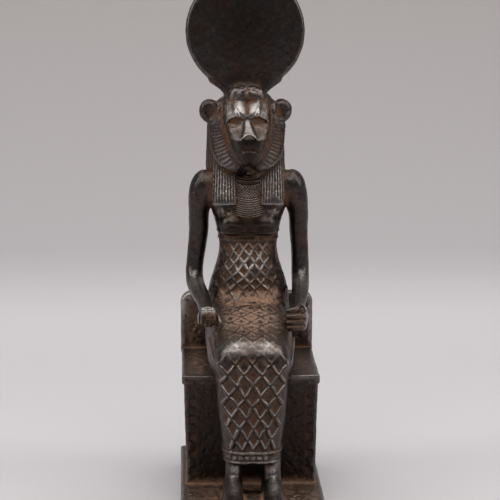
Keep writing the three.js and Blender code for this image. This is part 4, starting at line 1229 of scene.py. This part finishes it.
    def distance(self, x: Grid, y: Grid, z: Grid) -> Grid:
        """Give the distance to the face's skin."""
        step = 0.25
        front = self.front(x, z)
        lean_x = (self.front(x + step, z) - front) / step
        lean_z = (self.front(x, z + step) - front) / step
        skin = (front - y) / np.sqrt(1 + lean_x**2 + lean_z**2)
        return meet(skin, np.maximum(np.maximum(105.5 - z, z - 142.0), y - 40.0), 1.0)


@dataclass
class Face(Part):
    """The lion's face, with its ears and the rounded knob under the disc."""

    mask: Mask = field(default_factory=Mask)

    def model(self, clay: Clay) -> None:
        """Work the face into the clay."""
        skull = [
            [108.5, 4.0, 6, 6], [113, 6.4, 7, 6], [119, 9.4, 8, 6], [124, 11.6, 8.5, 6],
            [129.4, 12.8, 8.5, 6], [135.5, 12.0, 9, 6], [139.4, 10.8, 8.5, 6],
        ]
        clay.add(Loft(skull, 40, square=2.6, lean=((0, -1.1), (1, -1.1)), edge=2.0), 0.8)
        clay.add(self.mask, 1.0)
        self.ears(clay)
        self.knob(clay)

    def marks(self, x: Grid, y: Grid, z: Grid) -> dict["Dirt", Grid]:
        """Tell where the face has painted highlights, painted shade, dust and rust."""
        u = self.mask.across(x, z)
        far = np.abs(u)
        wide, _, edge, bridge, _ = self.mask.rows.at(z)
        brow, pad = self.mask.lines(far)
        face = smooth(edge + 2.5, edge + 1.0, y) * smooth(wide + 1.2, wide + 0.2, far)
        above = smooth(pad, pad + 0.4, z)
        lobes = np.exp(-((far - 2.9 - 0.22 * (z - 131)) / 2.4) ** 2 - ((z - 135) / 3.6) ** 2)
        arch = smooth(0.1, 0.7, z - brow) * smooth(5.0, 2.5, z - brow) * smooth(4.6, 5.8, far)
        arch = arch * smooth(10.9, 9.6, far)
        nose = smooth(bridge + 1.0, bridge - 0.4, far) * above * smooth(130.6, 129.4, z)
        corner = np.exp(-((far - wide + 3.0) / 1.5) ** 2) * above * smooth(pad + 4.5, pad + 1.0, z)
        cheek = smooth(bridge + 0.5, bridge + 1.6, far) * smooth(wide - 1.2, wide - 2.0, far) * above
        line = self.mask.slit(far)
        eye = np.exp(-((far - 6.6) / 3.4) ** 4) * smooth(line - 2.4, line - 0.8, z)
        eye = eye * smooth(brow + 0.4, brow - 0.4, z)
        slit = np.exp(-((far - 6.8) / 2.9) ** 4 - ((z - line - 0.3) / 0.75) ** 2)
        part = np.exp(-(u / 0.85) ** 2) * smooth(131, 133, z)
        # Painted shade under the nose pad and in the eye slits; painted highlights on the brow lobes, the
        # brow's arch, the nose and the corners of the face.
        return {Dirt.SOOT: face * np.maximum(0.95 * (1 - above), slit),
                Dirt.POLISH: face * (
                    1.1 * lobes * (1 - part) + 1.0 * arch + 0.5 * nose + 0.8 * corner + 0.3 * cheek),
                Dirt.DUST: 0.2 * face * cheek * smooth(line - 1.0, line - 3.0, z),
                Dirt.RUST: face * (0.9 * eye * (1 - slit) + 0.12 * cheek + 0.7 * part)}

    def ears(self, clay: Clay) -> None:
        """Model the rounded ears with their shallow cups."""
        for side in (-1, 1):
            clay.add(Egg((side * 18.7 + LEAN, 42.4, 132.4), (5.6, 3.4, 6.4), side * -12), 2.2)
            clay.carve(Egg((side * 19.5 + LEAN, 36.2, 133.2), (5.2, 3.7, 6.0), side * -14), 0.7)
        clay.emboss((15, 36, 124), (27, 44, 140), lambda x, y, z: 0.35 * GRAIN.at(x, y, z, 1.8))

    def knob(self, clay: Clay) -> None:
        """Model the dome at the foot of the disc, with its worn and grainy detail."""
        clay.add(Egg((LEAN + 0.4, 34.2, 141.8), (10.2, 5.8, 4.8)), 1.6)
        clay.add(Egg((LEAN - 0.4, 29.6, 143.0), (1.4, 1.4, 2.6)), 0.8)
        clay.add(Egg((LEAN + 4.2, 28.9, 143.0), (1.4, 0.9, 1.2)), 0.2)
        clay.carve(Egg((LEAN + 4.2, 28.0, 143.0), (0.55, 0.5, 0.45)), 0.2)
        low, high = (-15, 22, 134), (13, 40, 147)
        clay.emboss(low, high, lambda x, y, z: (
            0.3 * GRAIN.at(x, y, z, 1.4) + 0.3 * UNEVEN.at(x, y, z, 2.6)) * smooth(137, 140, z))


@dataclass
class Disc(Part):
    """The sun disc and the flared neck that carries it.

    Args:
        radius: Radius of the disc.
        half: Half its thickness near the rim.
        crown: How much thicker each face is in the middle.
        rim: Radius of its rounded rim.
        axis: Its middle on Y.
        height: Its middle on Z.
    """

    radius: float = 31.2
    half: float = 2.6
    crown: float = 1.1
    rim: float = 2.2
    axis: float = 47.0
    height: float = 173.8

    def box(self) -> tuple[Point, Point]:
        """Give the lowest and the highest corner."""
        reach, thick = self.radius, self.half + self.crown
        low = (LEAN - reach, self.axis - thick, self.height - reach)
        return low, (LEAN + reach, self.axis + thick, self.height + reach)

    def distance(self, x: Grid, y: Grid, z: Grid) -> Grid:
        """Give the distance to the disc's skin."""
        out = np.hypot(x - LEAN, z - self.height)
        flat = self.radius - self.rim
        thick = self.half + self.crown * (1 - np.minimum(out / flat, 1.0) ** 2)
        a, b = out - flat, np.abs(y - self.axis) - (thick - self.rim)
        return np.hypot(np.maximum(a, 0), np.maximum(b, 0)) + np.minimum(np.maximum(a, b), 0) - self.rim

    def model(self, clay: Clay) -> None:
        """Work the disc into the clay."""
        clay.add(self, 0)
        neck = [
            [134, 15, 11, 11], [138.4, 12.1, 8.6, 8.6], [140.9, 11.5, 7, 7], [143, 13.1, 5.6, 5.6],
            [145.2, 16, 4.4, 4.4], [147.2, 18.8, 3.5, 3.5], [149.4, 19.4, 2.8, 2.8], [153, 18, 2, 2],
        ]
        clay.add(Loft(neck, self.axis, lean=((0, LEAN), (1, LEAN))), 1.2)


@dataclass
class Collar(Part):
    """The broad collar of beads between the lappets, with its rings."""

    def model(self, clay: Clay) -> None:
        """Work the collar into the clay."""
        torso = Curve(torso_rows())
        rows = []
        for z in np.linspace(78.0, 99.0, 12):
            front = float(torso.at(z)[1])
            rows.append([float(z), 9.5 + (z - 78) * 0.22, front - 6 + 2.2, 2.0])
        clay.add(Loft(rows, TORSO_AXIS - 6, square=2.2, edge=0.5), 0)

        def rings(x: Grid, y: Grid, z: Grid) -> Grid:
            """Raise the rings, and a band of beads among them."""
            level = z - 0.022 * x * x
            level = level + 0.12 * UNEVEN.at(x, y, z, 3.0)
            lines = 0.3 * np.cos(level * 2 * math.pi / 1.15)
            across = np.cos(x * 2 * math.pi / 1.5 + UNEVEN.at(x, y, z, 2.0))
            beads = 0.42 * np.cos(level * 2 * math.pi / 1.7) * across
            belt = smooth(88.2, 88.8, level) * smooth(94.4, 93.8, level)
            deep = -0.7 * sum(np.exp(-((level - place) / 0.45) ** 2) for place in (95.2, 97.0))
            return lines * (1 - belt) + beads * belt + deep
        clay.emboss((-18, 20, 76), (18, 46, 100), rings)


class Dirt(Enum):
    """What shows on the metal in a spot: settled rust and dust, rubbed metal with painted highlights, and
    darkening with painted shade.
    """

    RUST = "rust"
    DUST = "dust"
    POLISH = "polish"
    SOOT = "soot"


@dataclass(frozen=True)
class Spot:
    """A soft spot on the metal.

    Args:
        surface_mark: What shows there, one of rust, dust, rubbed metal with painted highlights, and darkening
            with painted shade.
        centre: Its middle, in the figure's frame.
        reach: Its half sizes.
        strength: How much of it there is.
    """

    surface_mark: Dirt
    centre: Point
    reach: Point
    strength: float


SPOTS = [
    Spot(Dirt.DUST, (0, 2, 31), (21, 25, 9), 1.0),
    Spot(Dirt.DUST, (0, 26, 37), (20, 9, 5), 0.9),
    Spot(Dirt.SOOT, (0, -29, -8), (20, 6, 26), 0.45),
    Spot(Dirt.RUST, (-20.5, 38, 96), (3.4, 12, 13), 0.9),
    Spot(Dirt.RUST, (19.8, 38, 96), (3.4, 12, 13), 0.9),
    Spot(Dirt.RUST, (0, 26, 102), (10, 14, 6), 0.7),
    # Painted shade under the chin.
    Spot(Dirt.SOOT, (0, 28, 102), (10, 8, 6), 0.7),
    Spot(Dirt.RUST, (0, 30, 94), (9, 8, 5), 0.7),
    Spot(Dirt.RUST, (0, 28, 84), (7, 8, 8), 0.35),
    Spot(Dirt.RUST, (-14, 32, 118), (5, 8, 12), 0.9),
    Spot(Dirt.RUST, (13, 32, 118), (5, 8, 12), 0.9),
    Spot(Dirt.RUST, (-15, 34, 134), (6, 8, 6), 0.9),
    Spot(Dirt.RUST, (13, 34, 134), (6, 8, 6), 0.9),
    Spot(Dirt.RUST, (18, 40, 131), (6, 7, 8), 0.7),
    Spot(Dirt.RUST, (0, -28, 0), (17, 8, 30), 0.5),
    Spot(Dirt.RUST, (0, 30, 46), (20, 12, 14), 0.7),
    Spot(Dirt.POLISH, (-1.4, 29, 144), (7, 6, 3), 0.3),
    Spot(Dirt.RUST, (-1.4, 30, 139), (14, 8, 4), 0.6),
    Spot(Dirt.POLISH, (0, 28, 88), (6, 6, 5), 0.5),
    # Painted highlights on the middle of the belly, the sides of the thighs, the elbows, the knees, the
    # ankles, the hem's line and the lappets.
    Spot(Dirt.POLISH, (-1, 26, 52), (8.5, 8, 6), 0.7),
    Spot(Dirt.POLISH, (-20.8, -8, 18), (1.0, 10, 5), 0.4),
    Spot(Dirt.POLISH, (21.4, -8, 17), (1.0, 10, 5), 0.4),
    Spot(Dirt.POLISH, (-28, 38, 44), (5, 9, 5), 0.6),
    Spot(Dirt.POLISH, (28, 38, 44), (5, 9, 5), 0.6),
    Spot(Dirt.POLISH, (-9, -26, 21), (6, 6, 3.4), 0.75),
    Spot(Dirt.POLISH, (0, -26, 22), (18, 6, 3), 0.4),
    Spot(Dirt.POLISH, (9, -26, 21), (6, 6, 3.4), 0.75),
    Spot(Dirt.POLISH, (-8.4, -30, -46), (2.4, 12, 9), 1.8),
    Spot(Dirt.POLISH, (10, -30, -46), (2.4, 12, 9), 1.8),
    Spot(Dirt.POLISH, (0, -29, -36), (14, 4, 4), 0.8),
    Spot(Dirt.POLISH, (-12.5, 30, 94), (7, 7, 13), 0.65),
    Spot(Dirt.POLISH, (12, 30, 94), (7, 7, 13), 0.65),
    # Painted shade over the breasts and the waist.
    Spot(Dirt.SOOT, (0, 30, 72), (26, 20, 9.5), 1.3),
    Spot(Dirt.SOOT, (-1.4, 42, 176), (19, 20, 22), 0.7),
    # Painted shade on the throne's front face, beside the thighs under the arms, and on the thighs' sides.
    Spot(Dirt.SOOT, (0, 1, -28), (80, 3, 44), 1.0),
    Spot(Dirt.SOOT, (-20, 36, 30), (3, 40, 14), 0.6),
    Spot(Dirt.SOOT, (20, 36, 30), (3, 40, 14), 0.6),
    Spot(Dirt.SOOT, (-21, -4, 14), (4.5, 22, 17), 1.0),
    Spot(Dirt.SOOT, (21, -4, 14), (4.5, 22, 17), 1.0),
    Spot(Dirt.RUST, (-21, -4, 13), (5, 24, 15), 0.9),
    Spot(Dirt.RUST, (21, -4, 13), (5, 24, 15), 0.9),
    Spot(Dirt.DUST, (-29, 64, 11), (5, 4, 13), 1.0),
    Spot(Dirt.RUST, (-31, 64, 20), (6, 4, 14), 0.7),
    Spot(Dirt.RUST, (30, 64, 14), (6, 4, 14), 0.45),
    # Painted highlights with some rubbed metal at the top corners of the throne's back.
    Spot(Dirt.POLISH, (-33, 65, 26), (5, 4, 7), 0.9),
    Spot(Dirt.POLISH, (31, 65, 20), (5, 4, 12), 0.5),
    Spot(Dirt.DUST, (-27, 30, 0), (8, 36, 2), 0.9),
    Spot(Dirt.DUST, (27, 30, 0), (8, 36, 2), 0.5),
    Spot(Dirt.POLISH, (27, 30, 0), (8, 36, 2), 0.5),
    Spot(Dirt.DUST, (0, -30, -57), (50, 60, 3), 0.9),
    Spot(Dirt.RUST, (0, -10, -56), (50, 40, 3), 0.5),
]


def linear(hex_code: str) -> tuple[float, float, float, float]:
    """Turn an sRGB hex colour into the linear colour of a shader."""
    values = [int(hex_code[i:i + 2], 16) / 255 for i in (1, 3, 5)]
    return (*(v / 12.92 if v <= 0.04045 else ((v + 0.055) / 1.055) ** 2.4 for v in values), 1.0)


@dataclass(frozen=True)
class Patina:
    """The finish of sand-cast bronze with an old brown patina.

    It gives the eye a dark, half-glossy metal with bright rubbed crests and painted highlights, painted shade
    in shaded spots, and matt rust and dust in the hollows. The sizes are millimetres. The pits of such a
    casting are about 0.5 mm, too fine to show here, so the grain and the specks are drawn up to twice as
    coarse.

    Args:
        dark: Colour of the patinated skin.
        warm: Colour of its browner patches.
        bright: Colour of the worn crests and of the painted highlights.
        rust: Colour of the earth in the hollows.
        dust: Colour of the pale dust.
        pit_and_shade: Colour of the dark stains and specks, and of the painted shade in the deepest lines and
            shaded spots.
        patch_size: Size of the browner patches.
        mottle_size: Size of the mottling.
        grain_size: Size of the casting's grain.
        speck_size: Spacing of the dark specks.
    """

    dark: str = "#474240"
    warm: str = "#4a3d38"
    bright: str = "#aca5a0"
    rust: str = "#674226"
    dust: str = "#9c7a63"
    pit_and_shade: str = "#241c17"
    patch_size: float = 14.0
    mottle_size: float = 2.4
    grain_size: float = 0.7
    speck_size: float = 0.95


class Shader:
    """A material under construction."""

    def __init__(self, name: str) -> None:
        """Start a material with a bare surface shader.

        Args:
            name: The material's name.
        """
        self.material = bpy.data.materials.new(name)
        self.material.use_nodes = True
        self.tree = self.material.node_tree
        self.surface = self.tree.nodes["Principled BSDF"]

    def add(self, kind: str, settings: dict | None = None, links: dict | None = None,
            out: int | str = 0) -> bpy.types.NodeSocket:
        """Add a node.

        Args:
            kind: The node's type, without its first words.
            settings: Properties to set, or sockets by name or number, with their values.
            links: Input sockets by name or number, with the output socket that feeds each.
            out: The output socket to give back.

        Returns:
            The output socket.
        """
        node = self.tree.nodes.new("ShaderNode" + kind)
        for key, value in (settings or {}).items():
            if isinstance(key, int) or key in node.inputs:
                node.inputs[key].default_value = value
            else:
                setattr(node, key, value)
        for key, source in (links or {}).items():
            self.tree.links.new(source, node.inputs[key])
        return node.outputs[out]

    def plug(self, links: dict) -> None:
        """Link output sockets to inputs of the surface shader."""
        for key, source in links.items():
            self.tree.links.new(source, self.surface.inputs[key])


def bronze(name: str, finish: Patina) -> bpy.types.Material:
    """Make the patinated bronze.

    Args:
        name: The material's name.
        finish: Its colours.

    Returns:
        The material, which reads the attributes rust, dust, polish, soot and pit_and_shade of the mesh, and
        paints highlights and shade from them into its colour.
    """
    shader = Shader(name)
    add = shader.add
    place = add("TexCoord", out="Object")
    rust, dust, polish, soot, pit_and_shade = (add("Attribute", {"attribute_name": key}, out="Fac")
                                     for key in ("rust", "dust", "polish", "soot", "pit_and_shade"))
    patches, mottle, grain, spots = (
        add("TexNoise", {"Scale": 1 / (size * MM), "Detail": detail}, {"Vector": place})
        for size, detail in ((finish.patch_size, 3.0), (finish.mottle_size, 3.0), (finish.grain_size, 2.0),
                             (finish.speck_size, 1.0)))
    browner = add("MapRange", {1: 0.42, 2: 0.62}, {0: patches})
    skin = add("Mix", {"data_type": "RGBA", 6: linear(finish.dark), 7: linear(finish.warm)}, {0: browner}, 2)
    stains = add("MapRange", {1: 0.45, 2: 0.7, 4: 0.35}, {0: mottle})
    skin = add("Mix", {"data_type": "RGBA", 7: linear(finish.pit_and_shade)}, {0: stains, 6: skin}, 2)
    # Painted shade, and a darker tone in some spots: darken towards the darkest colour by the shade and
    # darkening attribute.
    shade_share = add("Math", {"operation": "MULTIPLY", 1: 0.72}, {0: soot})
    skin = add("Mix", {"data_type": "RGBA", 7: linear(finish.pit_and_shade)}, {0: shade_share, 6: skin}, 2)
    # Painted highlights and rubbed metal: lighten towards the bright colour, broken up by the grain.
    rub_and_highlight = add("MapRange", {1: -0.3, 2: 0.55}, {0: grain})
    bright_marks = add("Math", {"operation": "MULTIPLY", "use_clamp": True}, {0: polish, 1: rub_and_highlight})
    skin = add("Mix", {"data_type": "RGBA", 7: linear(finish.bright)}, {0: bright_marks, 6: skin}, 2)
    caked = add("MapRange", {1: 0.25, 2: 0.55}, {0: mottle})
    earth = add("Math", {"operation": "MULTIPLY", "use_clamp": True}, {0: rust, 1: caked})
    skin = add("Mix", {"data_type": "RGBA", 7: linear(finish.rust)}, {0: earth, 6: skin}, 2)
    lain = add("MapRange", {1: 0.2, 2: 0.5}, {0: grain})
    pale = add("Math", {"operation": "MULTIPLY", "use_clamp": True}, {0: dust, 1: lain})
    skin = add("Mix", {"data_type": "RGBA", 7: linear(finish.dust)}, {0: pale, 6: skin}, 2)
    # Painted shade in the deepest lines.
    skin = add("Mix", {"data_type": "RGBA", 7: linear(finish.pit_and_shade)}, {0: pit_and_shade, 6: skin}, 2)
    specks = add("MapRange", {1: 0.63, 2: 0.7, 4: 0.8}, {0: spots})
    skin = add("Mix", {"data_type": "RGBA", 7: linear(finish.pit_and_shade)}, {0: specks, 6: skin}, 2)
    covered = add("Math", {"operation": "MAXIMUM"}, {0: earth, 1: pale})
    metal = add("Math", {"operation": "MULTIPLY_ADD", 1: -0.8, 2: 0.95}, {0: covered})
    matt = add("Math", {"operation": "MULTIPLY_ADD", 1: 0.4, 2: 0.22}, {0: covered})
    matt = add("Math", {"operation": "MULTIPLY_ADD", 1: 0.26}, {0: mottle, 2: matt})
    height = add("Math", {"operation": "MULTIPLY_ADD", 1: 0.8}, {0: mottle, 2: grain})
    bump = add("Bump", {"Strength": 0.6, "Distance": 0.16 * MM}, {"Height": height})
    shader.plug({"Base Color": skin, "Metallic": metal, "Roughness": matt, "Normal": bump})
    return shader.material


@dataclass
class Casting:
    """One piece of the casting, from its clay to its dressed mesh.

    Args:
        name: Its name.
        clay: Its clay.
        parts: The parts worked into it.
        faces: The most triangles that its mesh may have.
    """

    name: str
    clay: Clay
    parts: tuple[Part, ...] = ()
    faces: int = 150_000

    def mesh(self) -> bpy.types.Object:
        """Skin the clay and thin the mesh.

        Returns:
            The object, in the frame of the whole statue.
        """
        corners, quads = self.clay.skin()
        mesh = bpy.data.meshes.new(self.name)
        mesh.vertices.add(len(corners))
        mesh.vertices.foreach_set("co", self.out(corners).ravel())
        mesh.loops.add(quads.size)
        mesh.loops.foreach_set("vertex_index", quads.ravel().astype(np.int32))
        mesh.polygons.add(len(quads))
        mesh.polygons.foreach_set("loop_start", np.arange(0, quads.size, 4, dtype=np.int32))
        mesh.update(calc_edges=True)
        piece = bpy.data.objects.new(self.name, mesh)
        bpy.context.collection.objects.link(piece)
        share = self.faces / (2 * len(quads))
        if share < 1:
            thin = piece.modifiers.new("Thin", "DECIMATE")
            thin.ratio = share
            graph = bpy.context.evaluated_depsgraph_get()
            piece.data = bpy.data.meshes.new_from_object(piece.evaluated_get(graph))
            piece.data.name = self.name
            piece.modifiers.clear()
        piece.data.polygons.foreach_set("use_smooth", np.ones(len(piece.data.polygons), bool))
        return piece

    @staticmethod
    def out(points: Grid) -> Grid:
        """Move points from the figure's frame in millimetres to the statue's in metres."""
        return ((points + np.array([0, THRONE_FRONT, SEAT_TOP])) * MM).astype(np.float32)

    def dress(self, piece: bpy.types.Object, others: list["Casting"], material: bpy.types.Material) -> None:
        """Write what has settled on each corner, with the painted highlights and painted shade, and give the
        piece its material.

        Args:
            piece: The piece's object.
            others: The castings that it joins.
            material: The patinated bronze.
        """
        mesh = piece.data
        points = np.empty(len(mesh.vertices) * 3, np.float32)
        mesh.vertices.foreach_get("co", points)
        points = points.reshape(-1, 3) / MM - np.array([0, THRONE_FRONT, SEAT_TOP], np.float32)
        clay = self.clay
        mesh.normals_split_custom_set_from_vertices(clay.normals(points).tolist())
        fine = clay.sample(clay.blurred(0.9), points)
        wide = clay.sample(clay.blurred(2.6), points)
        seam = np.zeros(len(points), np.float32)
        for other in others:
            held = other.clay.holds(points)
            near = other.clay.sample(other.clay.field, points[held])
            close = np.exp(-np.maximum(near, 0) / 1.3) * smooth(0.02, 0.3, near)
            seam[held] = np.maximum(seam[held], close)
        x, y, z = points.T
        uneven = UNEVEN.at(x, y, z, 3.0)
        spots = {surface_mark: np.zeros(len(points), np.float32) for surface_mark in Dirt}
        for spot in SPOTS:
            off = sum(((v - c) / r) ** 2 for v, c, r in zip((x, y, z), spot.centre, spot.reach))
            spots[spot.surface_mark] = np.maximum(spots[spot.surface_mark], spot.strength * np.exp(-off))
        marks = {surface_mark: np.zeros(len(points), np.float32) for surface_mark in Dirt}
        for part in self.parts:
            for surface_mark, value in part.marks(x, y, z).items():
                marks[surface_mark] += value
        hollow = smooth(0.02, -0.22, fine + 0.05 * uneven)
        deep = smooth(-0.05, -0.6, wide + 0.1 * uneven)
        crest = smooth(0.06, 0.32, fine)
        rust = hollow * (0.45 + 0.9 * spots[Dirt.RUST]) + 0.5 * deep + 0.55 * seam
        grainy = GRAIN.at(x, y, z, 1.5) * 0.6 + uneven * 0.6
        rust += spots[Dirt.RUST] * 0.6 * smooth(-0.15, 0.45, grainy) + marks[Dirt.RUST]
        dust = spots[Dirt.DUST] * (0.15 + 0.95 * smooth(0.12, -0.1, fine)) + marks[Dirt.DUST]
        # Darkening, mostly painted shade where shade falls.
        soot = np.clip(np.maximum(spots[Dirt.SOOT], marks[Dirt.SOOT]), 0, 1)
        # Bright spots, mostly painted highlights with some rubbed metal, on the rounded tops.
        rub_and_highlight = spots[Dirt.POLISH] * (0.12 + 1.0 * smooth(-0.05, 0.15, fine))
        polish = crest * 0.35 * (1 - 0.7 * soot) + rub_and_highlight
        # Painted shade in the deepest lines.
        pit_and_shade = smooth(-0.3, -0.7, fine) * 0.8
        polish = polish * (1 - 0.6 * hollow) + marks[Dirt.POLISH]
        values = {"rust": rust, "dust": dust, "polish": polish, "soot": soot, "pit_and_shade": pit_and_shade}
        for key, value in values.items():
            layer = mesh.attributes.new(key, "FLOAT", "POINT")
            layer.data.foreach_set("value", np.clip(value, 0, 1).astype(np.float32))
        mesh.materials.clear()
        mesh.materials.append(material)
        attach(piece, "root")
        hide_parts("seated_goddess")
        log.info("%s: %d corners, %d faces", self.name, len(mesh.vertices), len(mesh.polygons))


@dataclass(frozen=True)
class Studio:
    """The pale table that sweeps up into a backdrop, the soft lights and the camera.

    Args:
        table_tone: Colour of the paper on the table.
        bend_shaded_tone: Colour of its bend, darker than the table as painted shade.
        wall_shaded_tone: Colour of its upright part, darker still as painted shade.
        bend_start: Where the paper starts to bend, in metres behind the middle.
        bend_radius: Radius of the bend.
    """

    table_tone: str = "#d5d1d2"
    bend_shaded_tone: str = "#b9b4b5"
    wall_shaded_tone: str = "#b0aaa9"
    bend_start: float = 0.30
    bend_radius: float = 0.35

    def camera(self) -> None:
        """Set up the camera in front of the statue and a little above its middle."""
        data = bpy.data.cameras.new("camera")
        data.lens = 136.8
        data.sensor_width = 36
        data.clip_start = 0.01
        data.clip_end = 20
        camera = bpy.data.objects.new("camera", data)
        bpy.context.collection.objects.link(camera)
        camera.location = (-0.0337, THRONE_FRONT * MM - 0.950, 0.3055)
        camera.rotation_euler = (math.radians(90 - 10.2), 0, math.radians(-2.0))
        bpy.context.scene.camera = camera

    def sweep(self) -> None:
        """Lay the table and bend it up into the backdrop."""
        start, bend = self.bend_start, self.bend_radius
        profile = [(-1.6, 0.0), (start, 0.0)]
        for i in range(1, 17):
            angle = math.pi / 2 * i / 16
            profile.append((start + bend * math.sin(angle), bend * (1 - math.cos(angle))))
        profile.append((start + bend, 2.2))
        corners = [(x, y, z) for y, z in profile for x in (-2.0, 2.0)]
        faces = [(2 * i, 2 * i + 1, 2 * i + 3, 2 * i + 2) for i in range(len(profile) - 1)]
        mesh = bpy.data.meshes.new("backdrop")
        mesh.from_pydata(corners, [], faces)
        mesh.polygons.foreach_set("use_smooth", np.ones(len(faces), bool))
        sheet = bpy.data.objects.new("backdrop", mesh)
        bpy.context.collection.objects.link(sheet)
        shader = Shader("backdrop_paper")
        shader.surface.inputs["Roughness"].default_value = 0.9
        place = shader.add("TexCoord", out="Object")
        height = shader.add("SeparateXYZ", links={0: place}, out="Z")
        # Painted shade: the paper darkens up the bend and the wall as the light falls off.
        rise = shader.add("MapRange", {"interpolation_type": "SMOOTHSTEP", 1: 0.008, 2: 0.052}, {0: height})
        wall_shade = shader.add("MapRange", {1: 0.05, 2: 0.22}, {0: height})
        colours = {"data_type": "RGBA", 6: linear(self.table_tone), 7: linear(self.bend_shaded_tone)}
        tone = shader.add("Mix", colours, {0: rise}, 2)
        tone = shader.add("Mix", {"data_type": "RGBA", 7: linear(self.wall_shaded_tone)}, {0: wall_shade, 6: tone}, 2)
        shader.plug({"Base Color": tone})
        mesh.materials.append(shader.material)

    def light(self, name: str, place: Point, target: Point, size: tuple[float, float],
              power: float) -> None:
        """Hang one soft light.

        Args:
            name: Its name.
            place: Where it hangs, in metres.
            target: Where it points.
            size: Its width and height.
            power: Its power in watts.
        """
        data = bpy.data.lights.new(name, "AREA")
        data.shape = "RECTANGLE"
        data.size, data.size_y = size
        data.energy = power
        lamp = bpy.data.objects.new(name, data)
        bpy.context.collection.objects.link(lamp)
        way = np.array(target) - np.array(place)
        flat = math.hypot(way[0], way[1])
        lamp.location = place
        lamp.rotation_euler = (math.atan2(flat, -way[2]), 0, math.atan2(way[1], way[0]) - math.pi / 2)

    def set_up(self) -> None:
        """Build the stage and hang the lights."""
        self.sweep()
        self.light("softbox_left", (-0.85, -0.15, 0.7), (0, 0, 0.15), (0.35, 0.9), 3.2)
        self.light("softbox_right", (0.85, -0.15, 0.7), (0, 0, 0.15), (0.35, 0.9), 3.2)
        self.light("top", (0, -0.2, 1.15), (0, -0.02, 0.1), (1.2, 1.3), 11)
        world = bpy.data.worlds.new("room")
        world.use_nodes = True
        world.node_tree.nodes["Background"].inputs[0].default_value = (0.8, 0.8, 0.82, 1)
        world.node_tree.nodes["Background"].inputs[1].default_value = 0.17
        bpy.context.scene.world = world
        bpy.context.scene.view_settings.view_transform = "Standard"


@dataclass(frozen=True)
class Plan:
    """What one piece of the casting is made of.

    Args:
        name: The piece's name.
        low: Lowest corner of its clay.
        high: Highest corner.
        voxel: Spacing of its grid.
        parts: The parts worked into it.
        faces: The most triangles that its mesh may have.
    """

    name: str
    low: Point
    high: Point
    voxel: float
    parts: tuple[Part, ...]
    faces: int = 150_000

    def cast(self) -> Casting:
        """Work the parts into clay."""
        clay = Clay(self.low, self.high, self.voxel)
        for part in self.parts:
            part.model(clay)
        rough(clay, 0.09)
        return Casting(self.name, clay, self.parts, self.faces)


PLANS = [
    Plan("throne_and_plinth", (-38, -70, -70), (38, 76, 33), 0.55, (Throne(),), 190_000),
    Plan("dress_and_feet", (-27, -66, -60), (27, 71, 70), 0.42, (Dress(), Feet()), 190_000),
    Plan("bust_and_arms", (-37, -4, 18), (37, 64, 112), 0.42, (Bust(), Arms()), 170_000),
    Plan("collar", (-19, 20, 76), (19, 48, 101), 0.25, (Collar(),), 60_000),
    Plan("head_and_wig", (-30, 6, 81), (28, 68, 150), 0.36, (Wig(), Mane(), Face()), 190_000),
    Plan("sun_disc", (-36, 34, 132), (34, 60, 207), 0.45, (Disc(),), 60_000),
]


def main() -> None:
    """Build the statue, dress it and set it in the studio."""
    logging.basicConfig(level=logging.INFO, format="%(name)s: %(message)s")
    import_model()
    studio = Studio()
    studio.camera()
    castings = [plan.cast() for plan in PLANS]
    material = bronze("patinated_bronze", Patina())
    for casting in castings:
        piece = casting.mesh()
        casting.dress(piece, [other for other in castings if other is not casting], material)
    studio.set_up()


if __name__ == "__main__":
    main()
